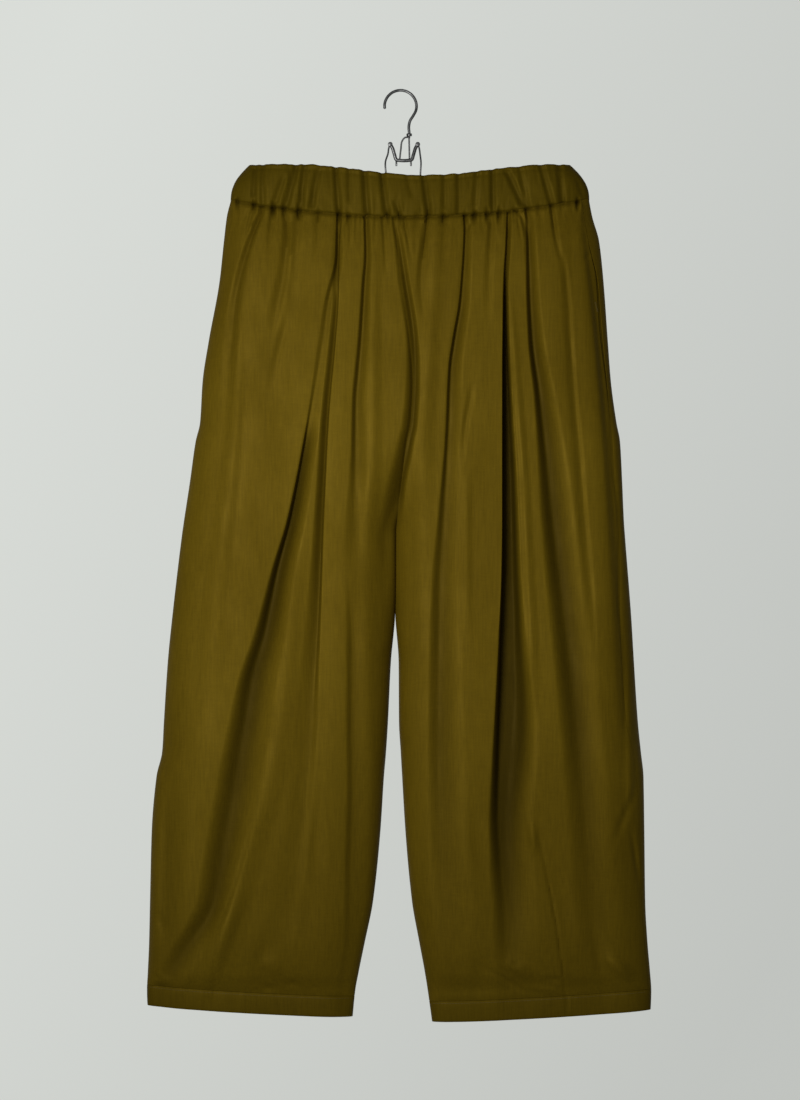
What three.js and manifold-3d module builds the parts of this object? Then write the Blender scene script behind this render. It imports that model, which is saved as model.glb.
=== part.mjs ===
// Balloon trousers of olive satin with a gathered elastic waistband, hung on a plain wire hanger.
// Sizes are in millimetres. +Z is up, the front of the trousers faces -Y, and left and right
// are as seen from the front. The origin is the underside of the hanger's arch, where a wall
// hook or a rail carries it, so every height is given as a drop below that point.
import * as THREE from "three";
import Module from "manifold-3d";
import { mergeVertices } from "three/addons/utils/BufferGeometryUtils.js";

// Cloth and seams
const CLOTH_WALL = 1.2;
const HEM_WALL = 2;
const BAND_WALL = 2.4;
const SEAM_GAP = 0.3;
const HALF_GAP = SEAM_GAP / 2;

// Heights, as drops below the hook
const WAIST_DROP = 143;
const FORK_DROP = 508;
const HEM_DROP = 1034;
const HEM_HEIGHT = 24;
const POCKET_END = 390;

// Waistband: its upper edge sags between the sides, and its seam is an arc
const BAND = { top: 84.5, sag: 12.5, sagMiddle: 29, sagReach: 150, backSag: 15 };
const SEAM = { middle: 8, drop: 146, rise: 20, reach: 205 };
const BAND_CORNER = { left: 21.5, right: 22, power: 2.3 };

// Hem line of each leg: it hangs lower at the inner end, by these drops from the nominal hem
const HEM_SLOPE = { left: { inner: 5, outer: -8 }, right: { inner: 11, outer: -3 } };

// How the front and back come together above the fork, and how folds die out at an edge
const FORK_RISE = 130;
const FOLD_FADE = 15;
const PINCH_DROP = 25;
const PINCH_LEFT = 0.35;
const WARP_REACH = 120;

// Sections down the garment: the outer edges, the edges at the centre, how far the front and
// back stand off the middle, how far in from an edge that takes, and how far in from the
// right outline the right side seam runs. Above the fork both centre edges are one seam.
const SECTIONS = [
  { drop: 125, outerLeft: -194.5, innerLeft: -9, innerRight: -9, outerRight: 217.5, front: 18, back: 16, round: 45, inset: 9 },
  { drop: 143, outerLeft: -199, innerLeft: -8, innerRight: -8, outerRight: 221, front: 20, back: 18, round: 48, inset: 10 },
  { drop: 172, outerLeft: -202.5, innerLeft: -4.5, innerRight: -4.5, outerRight: 229, front: 25, back: 20, round: 55, inset: 13 },
  { drop: 218, outerLeft: -207.5, innerLeft: 0, innerRight: 0, outerRight: 234, front: 28, back: 21, round: 62, inset: 7 },
  { drop: 287, outerLeft: -220, innerLeft: 10.5, innerRight: 10.5, outerRight: 239, front: 29, back: 21, round: 66, inset: 6 },
  { drop: 333, outerLeft: -227, innerLeft: 14, innerRight: 14, outerRight: 242.5, front: 30, back: 22, round: 68, inset: 5 },
  { drop: 381, outerLeft: -230, innerLeft: 11.5, innerRight: 11.5, outerRight: 249, front: 31, back: 22, round: 70, inset: 8 },
  { drop: 402, outerLeft: -235, innerLeft: 7.5, innerRight: 7.5, outerRight: 253, front: 31, back: 22, round: 70, inset: 10 },
  { drop: 448, outerLeft: -241.5, innerLeft: 2, innerRight: 2, outerRight: 255.5, front: 32, back: 23, round: 70, inset: 10 },
  { drop: 494, outerLeft: -248.5, innerLeft: -3.7, innerRight: -3.7, outerRight: 257.5, front: 33, back: 23, round: 70, inset: 8 },
  { drop: 508, outerLeft: -250.5, innerLeft: -5.7, innerRight: -5.4, outerRight: 258.5, front: 33, back: 23, round: 70, inset: 8 },
  { drop: 605, outerLeft: -262, innerLeft: -6.2, innerRight: -4.9, outerRight: 266, front: 35, back: 24, round: 70, inset: 14 },
  { drop: 655, outerLeft: -267, innerLeft: -10.4, innerRight: -1.6, outerRight: 269, front: 36, back: 25, round: 70, inset: 15 },
  { drop: 724, outerLeft: -271.5, innerLeft: -13.8, innerRight: -1.2, outerRight: 273.5, front: 37, back: 26, round: 70, inset: 15 },
  { drop: 759, outerLeft: -273.5, innerLeft: -16, innerRight: 0.8, outerRight: 277, front: 37, back: 26, round: 70, inset: 10 },
  { drop: 787, outerLeft: -280, innerLeft: -18.4, innerRight: 2.4, outerRight: 280, front: 37, back: 26, round: 70, inset: 9 },
  { drop: 850, outerLeft: -285.5, innerLeft: -22.5, innerRight: 6.2, outerRight: 281, front: 35, back: 25, round: 68, inset: 6 },
  { drop: 931, outerLeft: -287.5, innerLeft: -31, innerRight: 13.8, outerRight: 282, front: 32, back: 23, round: 64, inset: 5 },
  { drop: 977, outerLeft: -288.5, innerLeft: -40.3, innerRight: 22, outerRight: 284.5, front: 29, back: 21, round: 60, inset: 4 },
  { drop: 1012, outerLeft: -290, innerLeft: -47.5, innerRight: 28.5, outerRight: 287.5, front: 25, back: 18, round: 54, inset: 4 },
  { drop: 1034, outerLeft: -291, innerLeft: -51.5, innerRight: 32, outerRight: 289, front: 18, back: 15, round: 48, inset: 4 },
  { drop: 1070, outerLeft: -289, innerLeft: -55, innerRight: 37, outerRight: 287.5, front: 17, back: 14, round: 46, inset: 4 },
];

// Heights at which each fold's place and depth are given
const STATIONS = [143, 287, 494, 724, 850, 1034];

// Long folds from the gathered waist: where each runs, how deep it is (a ridge is negative),
// how wide its left and right walls are at the waist, and how much wider they are at the hem
const FOLDS = {
  left: {
    front: [
      { name: "side gather", x: [-159, -191, -201, -223, -246, -281], deep: [6, 5, 2, 1, 0, 0], left: 7, right: 5, spread: 2 },
      { name: "side ridge", x: [-144, -178, -195, -215, -236, -273], deep: [-2, -2.5, -2, -1, 0, 0], left: 7, right: 9, spread: 1.6 },
      { name: "short gather", x: [-132, -139, -159, -199, -222, -264], deep: [6, 3.5, 0, 0, 0, 0], left: 6, right: 7, spread: 2 },
      { name: "waist gather", x: [-104, -115, -144, -191, -214, -262], deep: [5, 1, 0, 0, 0, 0], left: 5, right: 6, spread: 2 },
      { name: "long pleat", x: [-71, -88, -125, -180, -205, -255], deep: [5, 6, 12, 11, 8, 2], left: 1.8, right: 14, spread: 4 },
      { name: "dart ridge", x: [-69, -80, -111, -137, -171, -212], deep: [0, -1, -3, -4.5, -5, -3], left: 7, right: 7, spread: 3 },
      { name: "pleat return", x: [-67, -75, -89, -101, -112, -138], deep: [3, 6, 6, 3, 1.2, 0], left: 8, right: 1.6, spread: 2.4 },
      { name: "front gather", x: [-43, -49, -56, -55, -56, -72], deep: [5, 7, 3.5, 3.5, 3, 1], left: 3.5, right: 6, spread: 2 },
      { name: "front ridge", x: [-31, -31, -34, -36, -39, -62], deep: [-1, -3, -1.5, -0.5, 0, 0], left: 6, right: 7, spread: 1.6 },
      { name: "inner gather", x: [-22, -18, -24, -28, -32, -57], deep: [3.5, 0, 0, 0, 0, 0], left: 4, right: 4, spread: 2 },
    ],
    back: [
      { name: "side gather", x: [-165, -178, -196, -215, -228, -246], deep: [5, 4, 3, 2, 1, 0], left: 6, right: 6, spread: 2.4 },
      { name: "side ridge", x: [-140, -152, -172, -190, -203, -222], deep: [-2, -2.5, -2, -2, -1, 0], left: 7, right: 8, spread: 1.8 },
      { name: "long pleat", x: [-112, -122, -140, -157, -170, -192], deep: [5, 6, 7, 6, 4, 1], left: 10, right: 2, spread: 3 },
      { name: "middle ridge", x: [-92, -98, -112, -125, -136, -160], deep: [-1, -2, -3, -3, -2, -1], left: 8, right: 8, spread: 2 },
      { name: "waist gather", x: [-79, -81, -96, -109, -120, -144], deep: [4, 1, 0, 0, 0, 0], left: 5, right: 5, spread: 2 },
      { name: "seat gather", x: [-64, -66, -82, -94, -104, -128], deep: [5, 5, 3, 3.5, 3, 1], left: 5, right: 6, spread: 2.4 },
      { name: "inner gather", x: [-36, -30, -42, -54, -66, -92], deep: [4, 2.5, 2, 2.5, 2, 0], left: 5, right: 5, spread: 2 },
    ],
  },
  right: {
    front: [
      { name: "centre gather", x: [31, 24, 17, 16, 23, 50], deep: [5, 1.5, 0, 0, 0, 0], left: 3, right: 4, spread: 2 },
      { name: "centre ridge", x: [41, 32, 27, 26, 32, 58], deep: [-1, -2, -1.5, -0.5, 0, 0], left: 5, right: 7, spread: 1.6 },
      { name: "front gather", x: [74, 59, 49, 45, 48, 70], deep: [5, 7, 6, 5, 4, 1], left: 2, right: 9, spread: 2.4 },
      { name: "front ridge", x: [87, 83, 75, 77, 80, 94], deep: [-1, -1.5, -2.5, -2, -1, 0], left: 7, right: 6, spread: 1.8 },
      { name: "waist gather", x: [104, 102, 98, 97, 98, 110], deep: [4.5, 1, 0, 0, 0, 0], left: 5, right: 6, spread: 2 },
      { name: "deep pleat", x: [124, 118.5, 118.5, 116.5, 115.5, 126], deep: [6, 10, 13, 12, 9, 2], left: 1.8, right: 13, spread: 3.4 },
      { name: "pleat return", x: [128, 126.5, 138, 146, 151, 161], deep: [0, 2, 5, 3, 0.5, 0], left: 6, right: 1.6, spread: 2.4 },
      { name: "outer trough", x: [145, 151, 167, 195, 206, 222], deep: [6, 7.5, 9, 7, 5.5, 2], left: 5, right: 14, spread: 2.2 },
      { name: "side gather", x: [174, 180, 192, 211, 220, 236], deep: [5, 1, 0, 0, 0, 0], left: 4, right: 5, spread: 2 },
      { name: "outer ridge", x: [187, 195, 210, 225, 233, 249], deep: [-2, -4, -4, -2, -1.5, -1], left: 9, right: 9, spread: 1.8 },
    ],
    back: [
      { name: "inner gather", x: [30, 32, 28, 34, 44, 70], deep: [4, 3, 2, 2.5, 2, 0], left: 5, right: 5, spread: 2 },
      { name: "seat gather", x: [60, 66, 72, 74, 82, 104], deep: [5, 6, 4, 4, 3, 1], left: 6, right: 4, spread: 2.4 },
      { name: "middle ridge", x: [84, 92, 104, 108, 116, 134], deep: [-1, -2, -3, -3, -2, -1], left: 8, right: 8, spread: 2 },
      { name: "long pleat", x: [108, 120, 136, 146, 154, 168], deep: [5, 6, 8, 6, 4, 1], left: 2, right: 10, spread: 3 },
      { name: "waist gather", x: [126, 136, 152, 163, 171, 184], deep: [4, 1, 0, 0, 0, 0], left: 5, right: 5, spread: 2 },
      { name: "side ridge", x: [142, 154, 170, 182, 190, 202], deep: [-2, -2.5, -2, -2, -1, 0], left: 8, right: 7, spread: 1.8 },
      { name: "side gather", x: [172, 188, 204, 218, 226, 236], deep: [5, 4, 3, 2, 1, 0], left: 6, right: 6, spread: 2.4 },
    ],
  },
};

// The centre seams lie in a shallow valley down to the fork
const CENTRE_VALLEY = {
  front: { deep: [4, 8, 3, 0, 0, 0], left: 3, right: 10 },
  back: { deep: [3, 4, 2, 0, 0, 0], left: 6, right: 6 },
};

// Gathers of the elastic waistband: x at the top edge, x at the seam, and depth
const BAND_GATHERS = {
  front: [
    { top: -167, seam: -167, deep: 3.2 }, { top: -158, seam: -157, deep: 2.4 },
    { top: -133, seam: -145, deep: 2.4 }, { top: -119, seam: -132, deep: 4.5 },
    { top: -110, seam: -116, deep: 3.6 }, { top: -96, seam: -101, deep: 2.8 },
    { top: -74, seam: -70, deep: 4.6 }, { top: -57, seam: -54, deep: 2.4 },
    { top: -40, seam: -38, deep: 4.5 }, { top: -21, seam: -14, deep: 4.5 },
    { top: -4, seam: 2, deep: 3.2 }, { top: 27, seam: 32, deep: 4.6 },
    { top: 52, seam: 50, deep: 2.4 }, { top: 68, seam: 66, deep: 3.2 },
    { top: 88, seam: 86, deep: 2.4 }, { top: 106, seam: 107, deep: 4.1 },
    { top: 124, seam: 132, deep: 4.5 }, { top: 137, seam: 145, deep: 3.6 },
    { top: 163, seam: 172, deep: 3.6 }, { top: 180, seam: 186, deep: 4.5 },
  ],
  back: [
    { top: -160, seam: -164, deep: 3.2 }, { top: -142, seam: -140, deep: 2.8 },
    { top: -120, seam: -113, deep: 4.5 }, { top: -98, seam: -94, deep: 2.4 },
    { top: -68, seam: -64, deep: 4.5 }, { top: -48, seam: -50, deep: 3.2 },
    { top: -30, seam: -36, deep: 3.6 }, { top: -6, seam: -8, deep: 3.2 },
    { top: 12, seam: 10, deep: 2.8 }, { top: 34, seam: 30, deep: 4.5 },
    { top: 56, seam: 60, deep: 3.6 }, { top: 82, seam: 80, deep: 2.4 },
    { top: 104, seam: 108, deep: 4.5 }, { top: 128, seam: 126, deep: 2.8 },
    { top: 146, seam: 150, deep: 3.6 }, { top: 170, seam: 174, deep: 3.2 },
  ],
};
const GATHER_WIDTH = 5.5;
const BAND_SPACING = 7;
const BAND_EDGES = [1.2, 3.5];

// Nominal drops of the rows of each panel, and how finely the cloth between folds is divided
const PANEL_ROWS = [143, 158, 185, 225, 287, 340, 390, 440, 480, 508, 535, 605, 665, 724, 787, 850, 930, 985, 1015, 1034];
const COLUMN_SPACING = 12;
const LEAST_COLUMN = 1.1;
const EDGE_COLUMNS = [1.5, 6, 15];

// Pocket slit in the right side seam, and the facing that shows in each slit
const POCKET = { slit: 3.5, depth: 0.5 };

// Hanger: bends are [x, drop], and the yoke's are measured in from each shoulder
const WIRE_ROUNDNESS = 4;
const HOOK = {
  radius: 1.65, arch: 18.4, middleX: 0.6, from: 187, to: -12, steps: 44,
  shank: [[15.2, 27.6], [11.6, 33.4], [10.2, 39.5]],
};
const COLLAR = { x: 10.6, drop: 49.6, radius: 3.2, height: 3.4 };
const BAIL = {
  radius: 1, head: { x: 10.2, radius: 1.6, height: 1.8 },
  left: [[9.6], [5.6, 52.8], [2.6, 56.5], [1, 66], [-0.2, 76.6]],
  right: [[10.4], [10.6, 62], [10.9, 76.6]],
};
const YOKE = {
  radius: 1.4, shoulders: { left: -11.2, right: 20.4 }, rivetDrop: 60.5, barDrop: 79,
  bends: [[0, 60.5], [2.4, 64.5], [4.8, 72], [7.4, 78.4], [11.2, 79]],
  rivet: { radius: 2.1, length: 4.6 }, feet: { radius: 1.1, length: 6.5, left: -4.2, right: 12.6 },
};
const ARM = {
  radius: 1, steps: 26, legs: { left: -16.4, right: 24 },
  rod: { drop: 112, radius: 1.3, left: -183.1, right: 206.4, endRadius: 3, endHeight: 16 },
};

const clamp = (value, low, high) => Math.min(Math.max(value, low), high);
const mix = (a, b, t) => a + (b - a) * t;
const smooth = (t) => {
  const u = clamp(t, 0, 1);
  return u * u * (3 - 2 * u);
};
const bump = (t) => (Math.abs(t) < 1 ? 0.5 + 0.5 * Math.cos(Math.PI * t) : 0);

// A smooth curve through values given at rising places, that never overshoots them
function through(places, values) {
  const last = places.length - 1;
  const rate = (i) => (values[i + 1] - values[i]) / (places[i + 1] - places[i]);
  const slopes = values.map((_, i) => {
    if (i === 0) return rate(0);
    if (i === last) return rate(last - 1);
    const product = rate(i - 1) * rate(i);
    return product <= 0 ? 0 : (2 * product) / (rate(i - 1) + rate(i));
  });
  return (place) => {
    const p = clamp(place, places[0], places[last]);
    let i = 0;
    while (i < last - 1 && p > places[i + 1]) i += 1;
    const span = places[i + 1] - places[i];
    const t = (p - places[i]) / span;
    const bend = t * (1 - t) * span;
    return mix(values[i], values[i + 1], t * t * (3 - 2 * t))
      + bend * ((1 - t) * slopes[i] - t * slopes[i + 1]);
  };
}

const sectionDrops = SECTIONS.map((row) => row.drop);
const section = Object.fromEntries(
  Object.keys(SECTIONS[0]).map((key) => [key, through(sectionDrops, SECTIONS.map((row) => row[key]))]),
);
for (const side of Object.values(FOLDS)) {
  for (const fold of [...side.front, ...side.back]) {
    fold.path = through(STATIONS, fold.x);
    fold.depth = through(STATIONS, fold.deep);
  }
}
for (const valley of Object.values(CENTRE_VALLEY)) {
  valley.path = section.innerLeft;
  valley.depth = through(STATIONS, valley.deep);
  valley.spread = 1;
}

const outerEdge = (side, drop) => (side === "left" ? section.outerLeft(drop) : section.outerRight(drop));
const innerEdge = (side, drop) => (side === "left" ? section.innerLeft(drop) : section.innerRight(drop));
const seamDrop = (x) => SEAM.drop - SEAM.rise * ((x - SEAM.middle) / SEAM.reach) ** 2;
const bandTop = (x, layer) =>
  BAND.top + (layer === "front" ? BAND.sag : BAND.backSag) * bump((x - BAND.sagMiddle) / BAND.sagReach);

// How much further the centre counts as being from an edge, above the fork
function forkReach(drop) {
  if (drop >= FORK_DROP) return 0;
  const t = clamp(1 - (FORK_DROP - drop) / FORK_RISE, 0, 1);
  const share = 1 - t * t;
  return section.round(drop) * (1 - Math.sqrt(1 - share * share));
}

function rounded(distance, reach) {
  const t = clamp(distance / reach, 0, 1);
  return Math.sqrt(1 - (1 - t) ** 2);
}

// Depth of the folds at a point, positive into the trousers
function foldDepth(folds, x, drop) {
  const down = clamp((drop - WAIST_DROP) / (HEM_DROP - WAIST_DROP), 0, 1);
  return folds.reduce((sum, fold) => {
    const off = x - fold.path(drop);
    const wall = (off < 0 ? fold.left : fold.right) * (1 + (fold.spread - 1) * down);
    return sum + fold.depth(drop) * bump(off / wall);
  }, 0);
}

// How far the cloth stands off the middle plane of the garment
function standOff(side, layer, x, drop) {
  const outer = Math.abs(outerEdge(side, drop) - x);
  const inner = Math.abs(x - innerEdge(side, drop)) + forkReach(drop);
  const reach = section.round(drop);
  const fade = smooth(outer / FOLD_FADE) * smooth(inner / FOLD_FADE);
  const pinch = mix(PINCH_LEFT, 1, smooth((drop - seamDrop(x)) / PINCH_DROP));
  const folds = foldDepth([...FOLDS[side][layer], CENTRE_VALLEY[layer]], x, drop);
  return section[layer](drop) * rounded(outer, reach) * rounded(inner, reach) - folds * fade * pinch;
}

// A row's real drop: rows follow the curved waist seam above and the sloping hem below
function hemDrop(side, x) {
  const across = clamp((x - innerEdge(side, HEM_DROP)) / (outerEdge(side, HEM_DROP) - innerEdge(side, HEM_DROP)), 0, 1);
  return HEM_DROP + mix(HEM_SLOPE[side].inner, HEM_SLOPE[side].outer, across ** 1.5);
}
function rowDrop(side, x, nominal) {
  const nearWaist = clamp(1 - (nominal - WAIST_DROP) / WARP_REACH, 0, 1) ** 2;
  const nearHem = clamp(1 - (HEM_DROP - nominal) / WARP_REACH, 0, 1) ** 2;
  return nominal
    + (seamDrop(x) + HALF_GAP - WAIST_DROP) * nearWaist
    + (hemDrop(side, x) - HALF_GAP - HEM_DROP) * nearHem;
}

// Spreads places so that no two are closer than the least column
function spaced(places) {
  const out = [...places];
  for (let i = 1; i < out.length - 1; i += 1) out[i] = Math.max(out[i], out[i - 1] + LEAST_COLUMN);
  for (let i = out.length - 2; i > 0; i -= 1) out[i] = Math.min(out[i], out[i + 1] - LEAST_COLUMN);
  return out;
}

// Columns along some lines, with even ones between them. A line gives its place in a row, and
// the samples are the rows where the lines' spacing is measured.
function dividedColumns(lines, samples, spacing) {
  const knotsAt = (row) => spaced(lines.map((line) => line(row)));
  const measured = samples.map(knotsAt);
  const counts = lines.slice(1).map((_, i) => {
    const width = measured.reduce((sum, knots) => sum + knots[i + 1] - knots[i], 0) / samples.length;
    return Math.max(1, Math.round(width / spacing));
  });
  return (row) => {
    const knots = knotsAt(row);
    const places = [knots[0]];
    counts.forEach((count, i) => {
      for (let k = 1; k <= count; k += 1) places.push(mix(knots[i], knots[i + 1], k / count));
    });
    return places;
  };
}

// Places across a layer that every row shares: both edges, the line of each fold and the crest
// of each knife-edged wall, with even columns between them
function layerColumns(side, layer, lowEdge, highEdge) {
  const down = (drop) => clamp((drop - WAIST_DROP) / (HEM_DROP - WAIST_DROP), 0, 1);
  const lines = [(drop) => lowEdge(drop), ...EDGE_COLUMNS.map((d) => (drop) => lowEdge(drop) + d)];
  for (const fold of FOLDS[side][layer]) {
    const wide = (drop) => 1 + (fold.spread - 1) * down(drop);
    if (fold.left < 3) lines.push((drop) => fold.path(drop) - fold.left * wide(drop));
    lines.push(fold.path);
    if (fold.right < 3) lines.push((drop) => fold.path(drop) + fold.right * wide(drop));
  }
  lines.push(...EDGE_COLUMNS.toReversed().map((d) => (drop) => highEdge(drop) - d), (drop) => highEdge(drop));
  return dividedColumns(lines, STATIONS, COLUMN_SPACING);
}

// A point of the cloth on one layer
function clothPoint(side, layer, x, drop, gap = HALF_GAP) {
  const off = gap + standOff(side, layer, x, drop);
  return new THREE.Vector3(x, layer === "front" ? -off : off, -drop);
}

// The place of each column in a row, at the real drop of the row there
function rowPlaces(side, columns, nominal) {
  return columns(nominal).map((first, j) => {
    const x = columns(rowDrop(side, first, nominal))[j];
    return { x, drop: rowDrop(side, x, nominal) };
  });
}

// Unit normals of a grid of points, facing the front where its columns run to the right
function gridNormals(grid, closed) {
  return grid.map((row, i) =>
    row.map((point, j) => {
      const last = row.length - 1;
      const before = closed ? row[(j + last) % row.length] : row[Math.max(j - 1, 0)];
      const after = closed ? row[(j + 1) % row.length] : row[Math.min(j + 1, last)];
      const above = grid[Math.max(i - 1, 0)][j];
      const below = grid[Math.min(i + 1, grid.length - 1)][j];
      const across = after.clone().sub(before);
      const down = below.clone().sub(above);
      return down.cross(across).normalize();
    }),
  );
}

// A closed body between an outer grid of points and an inner one
function wallGeometry(outer, inner, closed) {
  const rows = outer.length;
  const columns = outer[0].length;
  const positions = [...outer.flat(), ...inner.flat()].flatMap((p) => [p.x, p.y, p.z]);
  const layer = rows * columns;
  const at = (i, j) => i * columns + (j % columns);
  const faces = [];
  const quad = (a, b, c, d) => faces.push(a, b, c, a, c, d);
  const across = closed ? columns : columns - 1;
  for (let i = 0; i < rows - 1; i += 1) {
    for (let j = 0; j < across; j += 1) {
      quad(at(i, j), at(i, j + 1), at(i + 1, j + 1), at(i + 1, j));
      quad(layer + at(i, j), layer + at(i + 1, j), layer + at(i + 1, j + 1), layer + at(i, j + 1));
    }
  }
  for (let j = 0; j < across; j += 1) {
    quad(at(0, j + 1), at(0, j), layer + at(0, j), layer + at(0, j + 1));
    quad(at(rows - 1, j), at(rows - 1, j + 1), layer + at(rows - 1, j + 1), layer + at(rows - 1, j));
  }
  if (!closed) {
    for (let i = 0; i < rows - 1; i += 1) {
      quad(at(i, 0), at(i + 1, 0), layer + at(i + 1, 0), layer + at(i, 0));
      quad(at(i + 1, columns - 1), at(i, columns - 1), layer + at(i, columns - 1), layer + at(i + 1, columns - 1));
    }
  }
  const geometry = new THREE.BufferGeometry();
  geometry.setAttribute("position", new THREE.Float32BufferAttribute(positions, 3));
  geometry.setIndex(faces);
  if (signedVolume(geometry) < 0) {
    for (let i = 0; i < faces.length; i += 3) [faces[i + 1], faces[i + 2]] = [faces[i + 2], faces[i + 1]];
    geometry.setIndex(faces);
  }
  geometry.computeVertexNormals();
  return geometry;
}

function signedVolume(geometry) {
  const { position } = geometry.attributes;
  const [a, b, c] = [new THREE.Vector3(), new THREE.Vector3(), new THREE.Vector3()];
  let total = 0;
  for (let i = 0; i < geometry.index.count; i += 3) {
    a.fromBufferAttribute(position, geometry.index.getX(i));
    b.fromBufferAttribute(position, geometry.index.getX(i + 1));
    c.fromBufferAttribute(position, geometry.index.getX(i + 2));
    total += a.dot(b.cross(c)) / 6;
  }
  return total;
}

// Turns each normal of a grid so that it faces out of its layer
function faceOut(normal, layer) {
  const outward = layer === "front" ? -1 : 1;
  return normal.y * outward < 0 ? normal.negate() : normal;
}

// One panel as rows of { x, drop, layer } places, walled inwards. The ends of each row get a
// normal of their own where they meet another piece edge to edge.
function panelGeometry(side, rows, { wall = CLOTH_WALL, sink = 0, endNormals }) {
  const outer = rows.map(({ places }) =>
    places.map(({ x, drop, layer, gap }) => clothPoint(side, layer, x, drop, gap)),
  );
  const normals = gridNormals(outer, false);
  rows.forEach(({ places, nominal }, i) =>
    places.forEach(({ layer, edge }, j) => {
      const level = i === 0 || i === rows.length - 1;
      const normal = edge ? new THREE.Vector3(edge, 0, 0) : faceOut(normals[i][j], layer);
      const ends = j === 0 || j === places.length - 1;
      if (ends && endNormals) endNormals(normal, nominal, j === 0 ? "low" : "high");
      if (level) normal.setZ(0);
      normals[i][j] = normal.normalize();
    }),
  );
  const shifted = (grid, distance) =>
    grid.map((row, i) => row.map((p, j) => p.clone().addScaledVector(normals[i][j], -distance)));
  return wallGeometry(shifted(outer, sink), shifted(outer, sink + wall), false);
}

// The centre edge is cut along the seam above the fork, and lies against the other layer below it
const centreEnd = (side, which) => (normal, nominal, end) => {
  if (end !== which) return;
  if (nominal >= FORK_DROP) normal.set(side === "left" ? 1 : -1, 0, 0);
  else normal.setX(0);
};

function centreLine(side) {
  const inward = side === "left" ? -HALF_GAP : HALF_GAP;
  return (drop) => innerEdge(side, drop) + (drop < FORK_DROP ? inward : 0);
}

const sideSeam = (drop) => section.outerRight(drop) - section.inset(drop);
const slitAt = (drop) => POCKET.slit * bump((drop - (WAIST_DROP + POCKET_END) / 2) / ((POCKET_END - WAIST_DROP) / 2));

// The left panels meet at the outline, where the back stands back a little along the pocket slit
function leftRows(layer, nominals) {
  const columns = layerColumns("left", layer, section.outerLeft, centreLine("left"));
  return nominals.map((nominal) => {
    const places = rowPlaces("left", columns, nominal).map((place) => ({ ...place, layer }));
    const slit = layer === "back" ? slitAt(nominal) : 0;
    Object.assign(places[0], { edge: -1, gap: HALF_GAP + slit });
    return { nominal, places };
  });
}

function leftPanel(layer) {
  return panelGeometry("left", leftRows(layer, PANEL_ROWS), { endNormals: centreEnd("left", "high") });
}

// The right front ends at the side seam, short of the outline
function rightFrontRows(nominals) {
  const high = (drop) => sideSeam(drop) - HALF_GAP - slitAt(drop);
  const columns = layerColumns("right", "front", centreLine("right"), high);
  return nominals.map((nominal) => {
    const places = rowPlaces("right", columns, nominal).map((place) => ({ ...place, layer: "front" }));
    return { nominal, places };
  });
}

function rightFront() {
  return panelGeometry("right", rightFrontRows(PANEL_ROWS), { endNormals: centreEnd("right", "low") });
}

// The right back panel turns round the outline and meets the front at the side seam
const TURN_SHARES = [0.06, 0.25, 0.6, 1];
function turnedRow(nominal) {
  const turn = (drop) => {
    const edge = section.outerRight(drop);
    return TURN_SHARES.map((share) => edge - (section.inset(drop) - HALF_GAP) * share);
  };
  return rowPlaces("right", turn, nominal).map((place) => ({ ...place, layer: "front" }));
}

function rightBack() {
  const columns = layerColumns("right", "back", centreLine("right"), section.outerRight);
  const rows = PANEL_ROWS.map((nominal) => {
    const behind = rowPlaces("right", columns, nominal).map((place) => ({ ...place, layer: "back" }));
    Object.assign(behind[behind.length - 1], { edge: 1, gap: 0 });
    return { nominal, places: [...behind, ...turnedRow(nominal)] };
  });
  return panelGeometry("right", rows, { endNormals: centreEnd("right", "low") });
}

// A pocket facing: a strip just inside the slit, on the same lines as the cloth over it
const FACED_ROWS = PANEL_ROWS.filter((nominal) => nominal > WAIST_DROP && nominal <= POCKET_END);
const FACED_COLUMNS = EDGE_COLUMNS.length + 1;
function leftFacing() {
  const before = leftRows("front", FACED_ROWS);
  const behind = leftRows("back", FACED_ROWS);
  const rows = before.map(({ nominal, places }, i) => {
    const fold = { ...places[0], gap: 0 };
    const back = behind[i].places.slice(1, FACED_COLUMNS - 1);
    return { nominal, places: [...places.slice(1, FACED_COLUMNS).toReversed(), fold, ...back] };
  });
  return panelGeometry("left", rows, { sink: CLOTH_WALL + POCKET.depth });
}

function rightFacing() {
  const rows = rightFrontRows(FACED_ROWS).map(({ nominal, places }) => {
    const under = turnedRow(nominal).slice(-2).toReversed();
    return { nominal, places: [...places.slice(-FACED_COLUMNS), ...under] };
  });
  return panelGeometry("right", rows, { sink: CLOTH_WALL + POCKET.depth });
}

// A ring round both layers, as rows of outer points with the front going right and the back left
function ringGeometry(rows, wall) {
  const normals = gridNormals(rows, true).map((row) => row.map((normal) => normal.setZ(0).normalize()));
  const inner = rows.map((row, i) => row.map((p, j) => p.clone().addScaledVector(normals[i][j], -wall)));
  return wallGeometry(rows, inner, true);
}

const HEM_SHARES = [0, 0.006, 0.025, 0.06, 0.13, 0.25, 0.38, 0.5, 0.62, 0.75, 0.87, 0.94, 0.975, 0.994, 1];
function hem(side) {
  const rows = [0, 0.5, 1].map((share) => {
    const below = HALF_GAP + (HEM_HEIGHT - HALF_GAP) * share;
    const across = (drop) => {
      const edges = [innerEdge(side, drop), outerEdge(side, drop)].sort((a, b) => a - b);
      return HEM_SHARES.map((t) => mix(...edges, t));
    };
    const places = across(HEM_DROP + below).map((first, j) => {
      const x = across(hemDrop(side, first) + below)[j];
      return { x, drop: hemDrop(side, x) + below };
    });
    const front = places.map(({ x, drop }, j) => {
      const gap = j === 0 || j === places.length - 1 ? 0 : HALF_GAP;
      return clothPoint(side, "front", x, drop, gap);
    });
    const back = places.slice(1, -1).map(({ x, drop }) => clothPoint(side, "back", x, drop));
    return [...front, ...back.toReversed()];
  });
  return ringGeometry(rows, HEM_WALL);
}

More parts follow.
